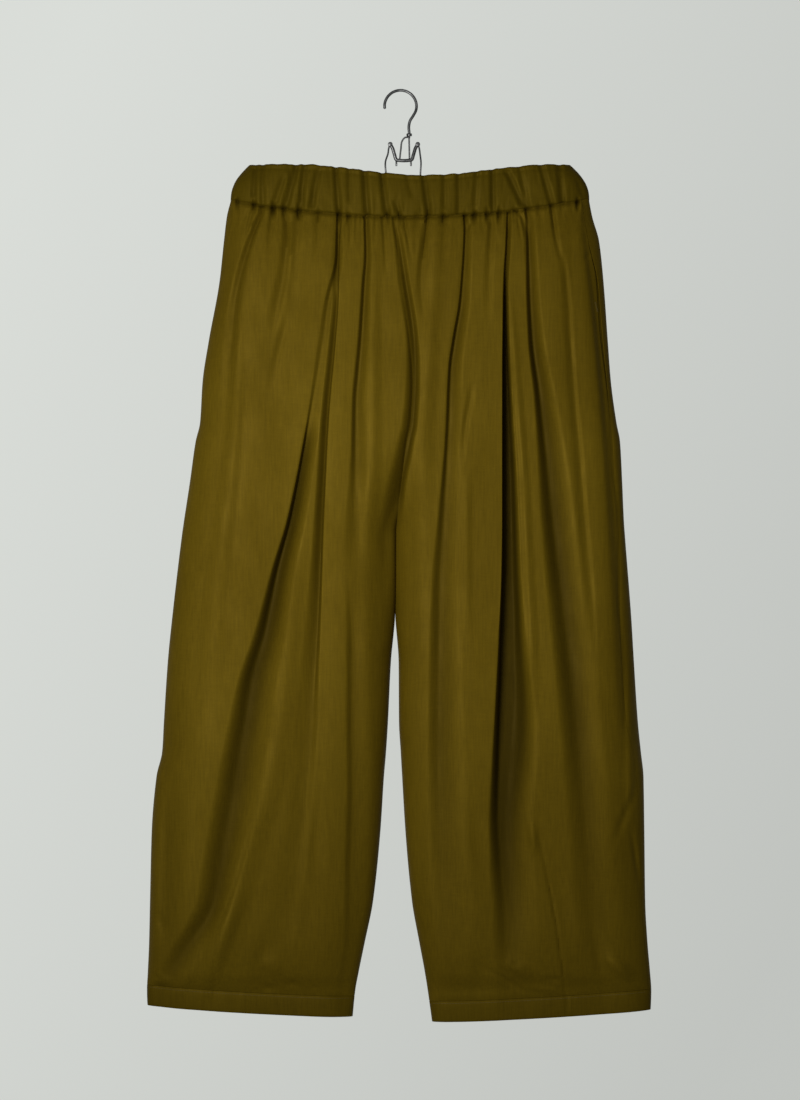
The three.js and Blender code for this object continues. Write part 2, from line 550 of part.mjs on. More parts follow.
// The waistband: narrower towards its rounded top corners, puffed between its edges
const BAND_SHARES = [0, 0.12, 0.5, 0.86, 1];
const BAND_PUFF = 2;
const BAND_LIFT = 17;
const bandTaper = (share) => (1 - share) ** BAND_CORNER.power;
const BAND_ENDS = [section.outerLeft(WAIST_DROP - BAND_LIFT), section.outerRight(WAIST_DROP - BAND_LIFT)];
const bandLow = (share) => BAND_ENDS[0] + BAND_CORNER.left * bandTaper(share);
const bandHigh = (share) => BAND_ENDS[1] - BAND_CORNER.right * bandTaper(share);

function bandPoint(layer, x, share) {
  const drop = mix(bandTop(x, layer), seamDrop(x) - HALF_GAP, share);
  const fromEnd = Math.min(x - bandLow(share), bandHigh(share) - x);
  const gathered = BAND_GATHERS[layer].reduce((sum, wave) => {
    const off = x - mix(wave.top, wave.seam, share);
    return sum + wave.deep * bump(off / GATHER_WIDTH);
  }, 0);
  const depth = section[layer](WAIST_DROP - BAND_LIFT) + BAND_PUFF * bump(2 * share - 1);
  const reach = section.round(WAIST_DROP - BAND_LIFT);
  const off = depth * rounded(fromEnd, reach) - gathered * smooth(fromEnd / FOLD_FADE);
  return new THREE.Vector3(x, layer === "front" ? -off : off, -drop);
}

function bandColumns(layer) {
  const lines = [
    bandLow,
    ...BAND_EDGES.map((d) => (share) => bandLow(share) + d),
    ...BAND_GATHERS[layer].map((wave) => (share) => mix(wave.top, wave.seam, share)),
    ...BAND_EDGES.toReversed().map((d) => (share) => bandHigh(share) - d),
    bandHigh,
  ];
  return dividedColumns(lines, BAND_SHARES, BAND_SPACING);
}

function waistband() {
  const [front, back] = [bandColumns("front"), bandColumns("back")];
  const rows = BAND_SHARES.map((share) => {
    const before = front(share).map((x) => bandPoint("front", x, share));
    const behind = back(share).slice(1, -1).map((x) => bandPoint("back", x, share));
    return [...before, ...behind.toReversed()];
  });
  return ringGeometry(rows, BAND_WALL);
}

// A wire with a round section, swept smoothly through its bends, each [x, drop, y]
function wire(bends, radius, steps) {
  const points = bends.map(([x, drop, y = 0]) => new THREE.Vector3(x, y, -drop));
  return new THREE.ExtrudeGeometry(new THREE.Shape().absarc(0, 0, radius, 0, 2 * Math.PI), {
    steps,
    curveSegments: WIRE_ROUNDNESS,
    extrudePath: new THREE.CatmullRomCurve3(points, false, "centripetal"),
    bevelEnabled: false,
  });
}

function upright(radius, height, sides, x, drop) {
  return new THREE.CylinderGeometry(radius, radius, height, sides).rotateX(Math.PI / 2).translate(x, 0, -drop);
}

const wasm = await Module();
wasm.setup();

function joined(geometries) {
  const solids = geometries.map((geometry) => {
    const bare = geometry.index ? geometry.toNonIndexed() : geometry.clone();
    bare.deleteAttribute("normal");
    bare.deleteAttribute("uv");
    const merged = mergeVertices(bare, 1e-3);
    return new wasm.Manifold(new wasm.Mesh({
      numProp: 3,
      vertProperties: merged.attributes.position.array,
      triVerts: new Uint32Array(merged.index.array),
    }));
  });
  const whole = solids.slice(1).reduce((sum, solid) => sum.add(solid), solids[0]).getMesh();
  const geometry = new THREE.BufferGeometry();
  geometry.setAttribute("position", new THREE.BufferAttribute(new Float32Array(whole.vertProperties), 3));
  geometry.setIndex(new THREE.BufferAttribute(new Uint32Array(whole.triVerts), 1));
  geometry.computeVertexNormals();
  return geometry;
}

// The hook: an arch of wire that goes on as a bent shank to just above the collar
function hook() {
  const { radius, arch, middleX, from, to, shank, steps } = HOOK;
  const middle = arch - radius;
  const turns = Math.round((from - to) / 25);
  const over = Array.from({ length: turns + 1 }, (_, i) => {
    const angle = THREE.MathUtils.degToRad(mix(from, to, i / turns));
    return [middleX + arch * Math.cos(angle), middle - arch * Math.sin(angle)];
  });
  return wire([...over, ...shank, [COLLAR.x, COLLAR.drop - COLLAR.height / 2 - SEAM_GAP]], radius, steps);
}

function collar() {
  return upright(COLLAR.radius, COLLAR.height, 16, COLLAR.x, COLLAR.drop);
}

// The bail hangs from the collar and carries the yoke
function bail() {
  const { head, left, right, radius } = BAIL;
  const top = COLLAR.drop + COLLAR.height / 2 + SEAM_GAP + head.height / 2;
  const knot = upright(head.radius, head.height, 12, head.x, top);
  const leg = (bends, steps) => wire([[bends[0][0], top], ...bends.slice(1)], radius, steps);
  return joined([knot, leg(left, 16), leg(right, 8)]);
}

// The yoke: a W of wire with a rivet at each shoulder and two short feet
function yoke() {
  const { shoulders, rivetDrop, barDrop, bends, radius, rivet, feet } = YOKE;
  const left = bends.map(([x, drop]) => [shoulders.left + x, drop]);
  const right = bends.map(([x, drop]) => [shoulders.right - x, drop]).toReversed();
  const strap = wire([...left, ...right], radius, 40);
  const pin = (x) => new THREE.CylinderGeometry(rivet.radius, rivet.radius, rivet.length, 16).translate(x, 0, -rivetDrop);
  const foot = (x) => upright(feet.radius, feet.length, 12, x, barDrop + feet.length / 2);
  return joined([strap, pin(shoulders.left), pin(shoulders.right), foot(feet.left), foot(feet.right)]);
}

// Each arm loops behind a rivet of the yoke, runs down into the waistband, and turns out along
// it to the upright that holds the elastic flat
function arm(side) {
  const { radius, legs, rod, steps } = ARM;
  const shoulder = YOKE.shoulders[side];
  const out = side === "left" ? -1 : 1;
  const leg = legs[side];
  const behind = YOKE.rivet.length / 2 + radius + SEAM_GAP;
  const hooked = [
    [shoulder + out * 0.2, YOKE.rivetDrop - 1.4, behind],
    [shoulder + out * 1.8, YOKE.rivetDrop + 4.5, behind],
    [shoulder + out * 2.6, YOKE.rivetDrop + 10.5, behind - 2],
  ];
  const down = [[leg, YOKE.barDrop], [leg + out * 0.4, rod.drop - 10]];
  const turn = [[leg + out * 3.4, rod.drop - 2.4], [leg + out * 10, rod.drop], [leg + out * 16, rod.drop]];
  const start = leg + out * 12;
  const end = rod[side] - out * (rod.endRadius + SEAM_GAP);
  const straight = new THREE.CylinderGeometry(rod.radius, rod.radius, Math.abs(end - start), 10)
    .rotateZ(Math.PI / 2)
    .translate((start + end) / 2, 0, -rod.drop);
  return joined([wire([...hooked, ...down, ...turn], radius, steps), straight]);
}

function armEnd(side) {
  const { rod } = ARM;
  return upright(rod.endRadius, rod.endHeight, 20, rod[side], rod.drop);
}

const satin = () => new THREE.MeshStandardMaterial({ color: 0x5d4c14, roughness: 0.45, metalness: 0 });
const bandSatin = () => new THREE.MeshStandardMaterial({ color: 0x524311, roughness: 0.5, metalness: 0 });
const steel = () => new THREE.MeshStandardMaterial({ color: 0x74777d, roughness: 0.35, metalness: 0.9 });

function group(pieces) {
  const made = new THREE.Group();
  for (const [name, geometry, material] of pieces) {
    const mesh = new THREE.Mesh(geometry, material);
    mesh.name = name;
    made.add(mesh);
  }
  return made;
}

const trousers = group([
  ["front_left", leftPanel("front"), satin()],
  ["front_right", rightFront(), satin()],
  ["back_left", leftPanel("back"), satin()],
  ["back_right", rightBack(), satin()],
  ["waistband", waistband(), bandSatin()],
  ["hem_left", hem("left"), satin()],
  ["hem_right", hem("right"), satin()],
  ["pocket_facing_left", leftFacing(), satin()],
  ["pocket_facing_right", rightFacing(), satin()],
]);

const hanger = group([
  ["hanger_hook", hook(), steel()],
  ["hanger_collar", collar(), steel()],
  ["hanger_bail", bail(), steel()],
  ["hanger_yoke", yoke(), steel()],
  ["hanger_arm_left", arm("left"), steel()],
  ["hanger_arm_right", arm("right"), steel()],
  ["hanger_end_left", armEnd("left"), steel()],
  ["hanger_end_right", armEnd("right"), steel()],
]);

const part = new THREE.Group();
part.add(trousers, hanger);

export default part;
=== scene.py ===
# Balloon trousers of olive satin with a gathered elastic waistband, hung on a wire hanger.
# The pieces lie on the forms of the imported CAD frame. Sizes are in millimetres in the frame's
# own axes, with heights as drops below the hook, and become metres where a mesh is made.
import math

import bpy
import numpy as np
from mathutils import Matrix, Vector

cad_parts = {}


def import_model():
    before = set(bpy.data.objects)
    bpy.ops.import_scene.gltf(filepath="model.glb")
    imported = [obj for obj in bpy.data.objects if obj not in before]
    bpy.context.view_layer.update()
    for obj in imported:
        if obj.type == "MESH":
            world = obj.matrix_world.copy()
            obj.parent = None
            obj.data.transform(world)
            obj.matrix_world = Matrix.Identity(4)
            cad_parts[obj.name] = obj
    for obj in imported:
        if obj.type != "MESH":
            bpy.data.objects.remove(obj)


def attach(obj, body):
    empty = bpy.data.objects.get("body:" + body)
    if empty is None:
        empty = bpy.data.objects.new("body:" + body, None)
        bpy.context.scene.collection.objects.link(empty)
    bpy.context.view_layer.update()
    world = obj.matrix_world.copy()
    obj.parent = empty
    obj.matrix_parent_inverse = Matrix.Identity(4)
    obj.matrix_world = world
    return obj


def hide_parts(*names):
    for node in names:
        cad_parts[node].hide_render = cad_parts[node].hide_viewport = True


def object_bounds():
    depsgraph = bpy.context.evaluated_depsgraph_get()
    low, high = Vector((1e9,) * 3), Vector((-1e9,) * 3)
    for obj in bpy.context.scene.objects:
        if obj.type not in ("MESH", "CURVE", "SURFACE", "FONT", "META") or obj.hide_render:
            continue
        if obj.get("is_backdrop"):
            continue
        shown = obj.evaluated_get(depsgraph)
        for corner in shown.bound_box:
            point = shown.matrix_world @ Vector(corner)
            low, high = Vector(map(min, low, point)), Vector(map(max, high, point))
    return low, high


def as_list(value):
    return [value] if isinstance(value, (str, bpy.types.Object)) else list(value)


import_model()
CAD_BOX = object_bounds()
MM = 0.001
SEED = 11

# The photograph: its centre in the frame, and the height that it takes in
VIEW_CENTRE = (0, 527)
VIEW_HEIGHT = 1265
CAMERA_AWAY = 5000

# The key light: its place and target in metres, its width, power and colour, and how wide it
# opens in degrees
KEY_LIGHT = {
    "place": (-0.5, -1.35, -0.39), "target": (0.03, 0, -0.46), "size": 0.6, "power": 3.8,
    "colour": (1, 0.98, 0.92), "spread": 90,
}
# The pale studio's colour, and two ramps of its strength: the way looked, from and to along it,
# and the strength at both
STUDIO = {
    "colour": (0.672, 0.695, 0.662, 1),
    "ramps": [((0, 1, 0), 0.2, 0.9, 0.26, 1), ((1, 0, -0.5), -0.13, 0.13, 1.04, 0.79)],
}
# The floor, in metres
FLOOR = {"radius": 2.2, "height": -1.8, "sides": 96, "colour": (0.62, 0.62, 0.6)}

# Colours: the light and the dark patches of each satin and of the metal, and the thread's
SATINS = {
    "olive": ((0.135, 0.088, 0.005), (0.118, 0.076, 0.004)),
    # The waistband's and the hem's satin are the olive satin made darker: painted shade, as they are the same
    # cloth
    "waistband": ((0.098, 0.065, 0.003), (0.08, 0.053, 0.002)),
    "hem": ((0.115, 0.075, 0.004), (0.1, 0.065, 0.0035)),
}
SHEEN = {"metallic": 0.2, "specular": 0.03, "roughness": (0.52, 0.63)}
METAL_COLOURS = ((0.24, 0.245, 0.255, 1), (0.09, 0.092, 0.097, 1))
THREAD_COLOUR = (0.15, 0.105, 0.02)

# Cloth and seams
CLOTH_WALL = 0.8
HEM_WALL = 1.6
BAND_WALL = 2.2
HALF_GAP = 0.15
CENTRE_GAP = 0.01
SEAM_TUCK = 1.6

# Heights, as drops below the hook
WAIST_DROP = 143
FORK_DROP = 508
HEM_DROP = 1034
HEM_HEIGHT = 24
POCKET_END = 390

# Waistband: its edges, its rounded ends, and the drop whose section gives its depth
BAND = {"top": 84.5, "sag": 12.5, "sag_middle": 29, "sag_reach": 150, "back_sag": 15}
BAND_CORNER = {"left": 21.5, "right": 22, "power": 2.3}
BAND_DEPTH_DROP = 126

# The waist seam, the groove under it, and how unevenly the elastic pulls at its pinches
SEAM = {"middle": 8, "drop": 146, "rise": 20, "reach": 205, "waver": 0.8, "drawn_up": 0.9, "pinch": 6}
# The groove's shade is how much it adds to the painted shade of the cloth under the waistband
GROOVE = {"deep": 2.8, "down": 3.2, "pinch_deep": 4.8, "pinch_down": 15, "pinch": 4.2, "shade": 2.2}
PULL = {"mean": 0.72, "sway": 0.42, "turn": 0.9}

# Hem line of each leg, and how the front and back come together above the fork
HEM_SLOPE = {"left": (5, -8), "right": (11, -3)}
FORK_RISE = 130
FOLD_FADE = 15
PINCH_DROP = 25
PINCH_LEFT = 0.7
WARP_REACH = 120
POCKET_SLIT = 3.5
OVERLAP = {
    "reach": 14, "above": 14, "start": 16, "end": 625, "fade": 60, "apart": 2.6, "across": 1.6,
}
CENTRE_SEAM = {"deep": 0.9, "reach": 3, "above": 8, "fade": 12}
HEM_GROOVE = {"deep": 1.2, "reach": 5}

# Random waves of the panels: their depth, and their lengths across and down
WAVES = [(1.1, 52, 190), (0.3, 24, 90), (0.05, 8, 24)]

# Sections down the garment: outer edges, the edges at the centre, how far the front and back
# stand off the middle, how far in from an edge that takes, and how far in from the right
# outline the right side seam runs
SECTION_COLUMNS = (
    "drop", "outer_left", "inner_left", "inner_right", "outer_right", "front", "back", "round", "inset",
)
SECTIONS = [
    (125, -194.5, -9, -9, 217.5, 18, 16, 45, 9),
    (143, -199, -8, -8, 221, 20, 18, 48, 10),
    (172, -202.5, -4.5, -4.5, 229, 25, 20, 55, 13),
    (218, -207.5, 0, 0, 234, 28, 21, 62, 7),
    (287, -220, 10.5, 10.5, 239, 29, 21, 66, 6),
    (333, -227, 14, 14, 242.5, 30, 22, 68, 5),
    (381, -230, 11.5, 11.5, 249, 31, 22, 70, 8),
    (402, -235, 7.5, 7.5, 253, 31, 22, 70, 10),
    (448, -241.5, 2, 2, 255.5, 32, 23, 70, 10),
    (494, -248.5, -3.7, -3.7, 257.5, 33, 23, 70, 8),
    (508, -250.5, -5.7, -5.4, 258.5, 33, 23, 70, 8),
    (605, -262, -6.2, -4.9, 266, 35, 24, 70, 14),
    (655, -267, -10.4, -1.6, 269, 36, 25, 70, 15),
    (724, -271.5, -13.8, -1.2, 273.5, 37, 26, 70, 15),
    (759, -273.5, -16, 0.8, 277, 37, 26, 70, 10),
    (787, -280, -18.4, 2.4, 280, 36.4, 26, 70, 9),
    (850, -285.5, -22.5, 6.2, 281, 34, 25, 68, 6),
    (931, -287.5, -31, 13.8, 282, 30.5, 23, 64, 5),
    (977, -288.5, -40.3, 22, 284.5, 29, 21, 60, 4),
    (1012, -290, -47.5, 28.5, 287.5, 25, 18, 54, 4),
    (1034, -291, -51.5, 32, 289, 18, 15, 48, 4),
    (1070, -289, -55, 37, 287.5, 17, 14, 46, 4),
]


def fold(name, x, deep, left, right, to=None, guide=False):
    """A long trough, or a ridge where it is negative. Each size is a number, or {drop: size}.
    x is its line, or the left edge of a flat floor that ends at to. left and right are how
    wide its walls are, and the grid's columns follow a guide."""
    return {"name": name, "x": x, "to": to or x, "deep": deep, "left": left, "right": right, "guide": guide}


FOLDS = {
    ("left", "front"): [
        fold("side gather", {139: -158, 180: -173, 212: -182, 244: -188, 286: -192, 400: -199, 700: -226,
            860: -250, 1034: -284}, {139: 5, 212: 4.4, 286: 3, 345: 1, 420: 0}, {139: 6, 286: 12},
            {139: 4, 286: 7}, guide=True),
        fold("side ridge", {260: -184, 358: -187, 451: -195, 527: -204, 603: -212, 800: -226}, {260: 0,
            320: -1.6, 451: -2.2, 603: -1.8, 800: 0}, {260: 12, 800: 22}, {260: 9, 800: 20}),
        fold("short side gather", {128: -168, 157: -174, 175: -177}, {128: 2.6, 150: 2, 175: 0}, 4, 4),
        fold("first gather", {128: -145, 160: -148, 190: -150}, {128: 3.4, 150: 2.6, 190: 0}, 5, 6),
        fold("short gather", {132: -133, 164: -129, 212: -133, 244: -139, 280: -145, 400: -156, 700: -202,
            860: -232, 1034: -280}, {132: 5, 180: 3.8, 244: 2.2, 280: 0}, {132: 6, 244: 11}, {132: 5,
            244: 7}, guide=True),
        fold("lower gather", {255: -129, 274: -132, 320: -143, 350: -149}, {255: 0, 285: 1.8, 350: 0}, 8,
            6),
        fold("waist gather", {132: -116, 160: -117, 210: -121, 290: -128}, {132: 4, 165: 2.6, 230: 0.8,
            290: 0}, {132: 5, 290: 12}, {132: 5, 290: 12}),
        fold("thin gather", {132: -94, 160: -94, 200: -96}, {132: 3.6, 160: 2, 200: 0}, 4.5, 5),
        fold("long pleat", {141: -71, 187: -71, 244: -82, 287: -88, 402: -108, 492: -125, 546: -139,
            623: -155, 677: -170, 723: -177, 769: -185, 815: -193, 872: -203, 930: -213, 987: -247,
            1034: -275}, {141: 4, 220: 4, 287: 2, 375: 3, 412: 10, 494: 13, 650: 13, 760: 11, 850: 9.5,
            930: 9, 987: 7, 1034: 2.5}, {141: 2.4, 287: 6, 400: 2.8, 494: 4.5, 560: 8, 620: 12, 760: 20,
            930: 22, 1034: 22}, {141: 6, 287: 10, 400: 15, 494: 19, 600: 25, 690: 32, 850: 34, 930: 24,
            1034: 26}, guide=True),
        fold("dart ridge", {400: -98, 577: -122, 661: -130, 718: -137, 770: -146, 818: -157, 847: -169,
            923: -190, 1034: -211}, {400: 0, 577: -2, 724: -3, 850: -3.4, 960: -2.6, 1034: -1}, {400: 14,
            1034: 26}, {400: 16, 1034: 30}),
        fold("pleat return", {143: -67, 171: -70, 244: -72, 286: -75, 375: -83, 492: -89, 612: -94,
            723: -101, 789: -106, 847: -112, 938: -125, 1034: -140}, {143: 2, 200: 4, 287: 5.4, 494: 8,
            650: 5.6, 724: 3.8, 850: 2.4, 940: 1.4, 1034: 0}, {143: 6, 350: 8, 494: 10, 700: 20,
            1034: 30}, {143: 1.8, 494: 2.6, 650: 4.5, 724: 8, 1034: 14}, guide=True),
        fold("short middle gather", {135: -58, 160: -57, 185: -57}, {135: 3.2, 160: 1.8, 185: 0}, 4, 4),
        fold("front gather", {139: -43, 151: -39, 190: -38, 220: -40, 286: -44, 320: -47, 358: -50,
            450: -51, 723: -57, 1034: -70}, {139: 5, 200: 5.6, 287: 6, 400: 5.6, 450: 4, 560: 0},
            {139: 3.4, 287: 5, 400: 6, 520: 13}, {139: 5, 287: 9, 520: 18}, guide=True),
        fold("knee valley", {560: -57, 640: -55, 723: -55, 799: -54, 876: -56, 964: -57, 1034: -66},
            {560: 0, 640: 3.4, 723: 4, 850: 3.6, 964: 2, 1034: 0.6}, {560: 6, 1034: 9}, {560: 20,
            1034: 30}),
        fold("front ridge", {220: -30, 325: -31, 393: -31, 520: -36, 723: -38}, {220: -0.8, 325: -2,
            393: -2, 520: -1.2, 723: 0}, {220: 9, 520: 14}, {220: 10, 520: 14}),
        fold("inner gather", {139: -21, 165: -18, 215: -16}, {139: 4, 165: 2.2, 215: 0}, 4, 5),
        fold("lower side hollow", {780: -262, 860: -266, 940: -268, 1010: -266}, {780: 0, 860: 4.5,
            940: 4, 1010: 0}, 16, 26),
    ],
    ("right", "front"): [
        fold("seam gather", {146: 4, 165: 8, 200: 13}, {146: 3.2, 170: 1.4, 200: 0}, 3.5, 4.5),
        fold("thin seam gather", {148: 17, 194: 17.5}, {148: 1.4, 175: 1.2, 194: 0}, 2.4, 2.6),
        fold("centre gather", {147: 31, 167: 29, 193: 26, 223: 24, 270: 28, 400: 28, 700: 22, 1034: 52},
            {147: 5, 190: 3.6, 223: 1.8, 270: 0}, {147: 4, 223: 7}, {147: 5, 223: 8}, guide=True),
        fold("centre ridge", {180: 42, 287: 34, 494: 24, 724: 27}, {180: -1, 287: -1.8, 494: -1.8,
            724: 0}, {180: 10, 494: 16}, {180: 12, 494: 18}),
        fold("faint gather", {140: 53, 178: 50, 215: 48}, {140: 3.4, 170: 1.8, 215: 0}, 4.5, 5.5),
        fold("front gather", {143: 74, 160: 75, 190: 74, 220: 72, 244: 70, 286: 63, 320: 58.5, 385: 56,
            439: 53, 493: 50, 569: 46, 723: 45, 867: 48, 1034: 66}, {143: 5, 220: 5.6, 287: 7.4, 400: 6,
            494: 6.4, 724: 7, 850: 5, 1034: 1}, {143: 2.6, 300: 4, 420: 5, 494: 8, 724: 15, 1034: 20},
            {143: 7, 287: 13, 494: 20, 724: 30, 1034: 38}, guide=True),
        fold("gather branch", {138: 84, 150: 82, 165: 74}, {138: 3.2, 150: 2.2, 165: 0}, 4, 4),
        fold("thin ridge", {430: 77, 470: 76, 549: 76, 640: 78}, {430: 0, 480: -1.2, 549: -1.2, 640: 0},
            7, 8),
        fold("short crease", {335: 83, 357: 80, 385: 75, 430: 70}, {335: 0, 365: 1.6, 400: 1.4, 430: 0},
            6, 5),
        fold("waist gather", {136: 105, 170: 104, 215: 102, 290: 101}, {136: 4.4, 170: 2.6, 230: 0.8,
            290: 0}, {136: 5, 290: 9}, {136: 5, 290: 8}),
        fold("deep pleat", {141: 124, 180: 122.5, 212: 120.5, 260: 119.5, 329: 119, 493: 119, 560: 118.5,
            628: 116.5, 723: 114.5, 825: 113, 887: 116, 929: 120, 987: 123, 1034: 127}, {141: 5, 200: 7,
            250: 12, 320: 16, 494: 19, 700: 19, 800: 15, 900: 10, 987: 5, 1034: 1.5}, {141: 2.4, 494: 2.6,
            620: 4, 760: 9, 850: 13, 1034: 18}, {141: 5, 228: 4, 286: 4, 494: 8, 608: 12, 687: 22,
            760: 32, 1034: 40}, to={141: 124, 180: 123, 228: 120.5, 286: 121.5, 329: 123, 385: 125,
            439: 127, 549: 129, 608: 130.5, 687: 131, 760: 126, 850: 118, 929: 122, 987: 125, 1034: 129},
            guide=True),
        fold("pleat lip", {228: 126, 286: 130, 385: 137, 439: 141, 549: 146, 608: 149, 720: 153}, {228: 0,
            286: -1, 494: -1.6, 608: -1.6, 720: 0}, {228: 4, 608: 6}, {228: 6, 608: 10}),
        fold("soft gather", {136: 132, 148: 141, 178: 146, 205: 146}, {136: 3.6, 160: 2.6, 205: 0}, 5, 5),
        fold("outer trough", {140: 146, 172: 148, 212: 148.5, 286: 152, 348: 160, 412: 167, 493: 175,
            588: 186, 648: 193, 723: 201, 815: 210, 877: 215, 929: 220, 1034: 228}, {140: 4.4, 212: 7,
            287: 9, 494: 11, 724: 9, 850: 6, 1034: 1.5}, {140: 4, 212: 5, 350: 8, 494: 15, 724: 20,
            1034: 24}, {140: 7, 287: 14, 494: 28, 724: 32, 1034: 36}, guide=True),
        fold("side gather", {135: 174, 167: 178, 200: 185}, {135: 4.6, 167: 2.4, 200: 0}, 4, 5),
        fold("side valley", {185: 186, 212: 190, 286: 195, 348: 199, 412: 205, 493: 211, 588: 219,
            700: 224}, {185: 0, 225: 1.8, 348: 2, 493: 1.8, 588: 1, 700: 0}, {185: 7, 588: 12}, {185: 4,
            588: 6}),
        fold("outer ridge", {160: 206, 250: 217, 348: 226, 494: 236, 648: 244, 760: 250}, {160: -1.6,
            287: -4.6, 494: -4.6, 648: -3, 760: 0}, {160: 12, 287: 26, 648: 30}, {160: 7, 287: 8,
            494: 11}),
        fold("side line", {265: 234, 286: 235, 348: 240, 439: 245, 493: 251, 588: 251, 648: 256,
            760: 258}, {265: 0, 300: 1, 493: 1.4, 648: 1.2, 760: 0}, 4, 4),
        fold("side bulge", {640: 266, 700: 263, 794: 263, 840: 262}, {640: 0, 723: -1.6, 794: -1.6,
            840: 0}, 7, 8),
    ],
    ("left", "back"): [
        fold("side gather", {139: -165, 287: -178, 494: -196, 724: -215, 850: -228, 1034: -246}, {139: 5,
            287: 4, 494: 3, 724: 2, 850: 1, 1034: 0}, {139: 5, 1034: 14}, {139: 4, 1034: 14}),
        fold("side ridge", {143: -140, 287: -152, 494: -172, 724: -190, 850: -203, 1034: -222}, {143: -2,
            287: -2.5, 724: -2, 1034: 0}, {143: 7, 1034: 14}, {143: 8, 1034: 15}),
        fold("short gather", {134: -140, 190: -139, 260: -146}, {134: 4, 190: 2.4, 260: 0}, 4, 5),
        fold("long pleat", {137: -112, 287: -122, 400: -129, 494: -140, 600: -145, 724: -157, 850: -172,
            1034: -192}, {137: 5, 287: 6, 494: 8, 724: 7, 850: 4.6, 1034: 1}, {137: 8, 494: 20, 1034: 30},
            {137: 2, 494: 3, 1034: 6}, guide=True),
        fold("middle ridge", {143: -92, 494: -112, 724: -125, 1034: -160}, {143: -1, 494: -3, 724: -3,
            1034: -1}, {143: 8, 1034: 16}, {143: 8, 1034: 16}),
        fold("waist gather", {137: -80, 220: -81, 300: -84}, {137: 4, 220: 1.6, 300: 0}, 4, 5),
        fold("seat gather", {139: -64, 287: -66, 420: -76, 494: -84, 724: -92, 1034: -128}, {139: 5,
            287: 5, 494: 3.6, 724: 3.8, 1034: 1}, {139: 4, 1034: 14}, {139: 5, 1034: 16}),
        fold("inner gather", {142: -36, 220: -31, 300: -33, 494: -44, 724: -52, 1034: -92}, {142: 4,
            287: 2.5, 494: 2, 724: 2.8, 1034: 0}, {142: 4, 1034: 12}, {142: 4, 1034: 12}),
    ],
    ("right", "back"): [
        fold("inner gather", {146: 30, 230: 33, 494: 26, 724: 36, 1034: 70}, {146: 4, 287: 3, 494: 2,
            724: 2.8, 1034: 0}, {146: 4, 1034: 12}, {146: 4, 1034: 12}),
        fold("seat gather", {144: 60, 287: 66, 400: 71, 494: 70, 724: 76, 1034: 104}, {144: 5, 287: 6,
            494: 4.4, 724: 4.2, 1034: 1}, {144: 5, 1034: 16}, {144: 3, 1034: 10}),
        fold("middle ridge", {143: 84, 494: 104, 724: 108, 1034: 134}, {143: -1, 494: -3, 724: -3,
            1034: -1}, {143: 8, 1034: 16}, {143: 8, 1034: 16}),
        fold("long pleat", {141: 108, 287: 120, 380: 130, 494: 136, 640: 141, 724: 147, 850: 153,
            1034: 168}, {141: 5, 287: 6, 494: 9, 724: 7, 850: 4.6, 1034: 1}, {141: 2, 494: 3, 1034: 6},
            {141: 8, 494: 20, 1034: 30}, guide=True),
        fold("waist gather", {140: 126, 210: 132, 300: 140}, {140: 4, 210: 2, 300: 0}, 4, 5),
        fold("side ridge", {143: 142, 494: 170, 724: 182, 1034: 202}, {143: -2, 287: -2.5, 724: -2,
            1034: 0}, {143: 8, 1034: 14}, {143: 7, 1034: 14}),
        fold("side gather", {137: 172, 287: 188, 494: 204, 724: 218, 1034: 236}, {137: 5, 287: 4, 494: 3,
            724: 2, 1034: 0}, {137: 5, 1034: 14}, {137: 4, 1034: 14}),
    ],
}

# The centre seams lie in a valley down to the fork, deepest a little over to the right of them
CENTRE_VALLEY = {
    "front": {"deep": {146: 3, 240: 6.4, 330: 8, 400: 9, 500: 7, 570: 0},
              "left": {146: 5, 287: 10, 400: 14, 500: 22}, "right": {146: 5, 500: 6},
              "over": {146: 2, 240: 7, 287: 6, 333: 3.5, 402: 3.5, 448: 0}},
    "back": {"deep": {146: 3, 287: 4, 494: 2, 560: 0}, "left": 6, "right": 6, "over": 0},
}

# Short creases and bumps of the fronts: x and drop of one end, x and drop of the other, depth
# and width. A bump's depth is negative.
STROKE_TAPER = 0.72
STROKES = {
    "left": [
        (-242, 545, -220, 551, 1.6, 4), (-236, 384, -225, 388, 1.8, 4), (-236, 396, -222, 404, -1.2, 6),
        (-272, 731, -262, 757, 3.2, 5), (-276, 764, -269, 794, 2.8, 4), (-276, 806, -266, 812, 1.8, 5),
        (-260, 750, -249, 762, 1.2, 4), (-289, 934, -268, 961, 2.6, 5), (-289, 1012, -272, 1020, 1.4, 4),
        (-158, 1028, -142, 1030, 1.6, 6), (-132, 1021, -118, 1026, 1.4, 6), (-204, 152, -190, 172, 1.4, 4),
        (-184, 915, -226, 1032, -5.4, 17), (-156, 992, -140, 1012, -2.6, 15),
        (-282, 1016, -262, 1024, -2, 9), (-150, 965, -164, 1032, 2, 22), (-98, 820, -92, 900, 1.6, 14),
    ],
    "right": [
        (246, 856, 272, 800, 3.2, 5), (264, 846, 278, 921, 2.4, 5), (236, 992, 264, 1016, -4.6, 13),
        (128, 998, 138, 1004, 1.2, 6), (142, 1027, 186, 1033, -1.8, 6), (164, 1017, 186, 1020, 1.6, 5),
        (98, 1005, 139, 1031, 2, 5), (150, 970, 174, 992, 1, 4), (222, 182, 210, 196, 1.2, 4),
        (226, 158, 212, 166, 1, 4), (116, 996, 150, 1012, -3.8, 13), (150, 838, 154, 872, -3.6, 8),
        (84, 820, 96, 905, 1.6, 16), (168, 884, 196, 960, 1.8, 16), (222, 960, 236, 1030, 1.6, 12),
        (92, 985, 96, 1032, 2, 20),
    ],
}

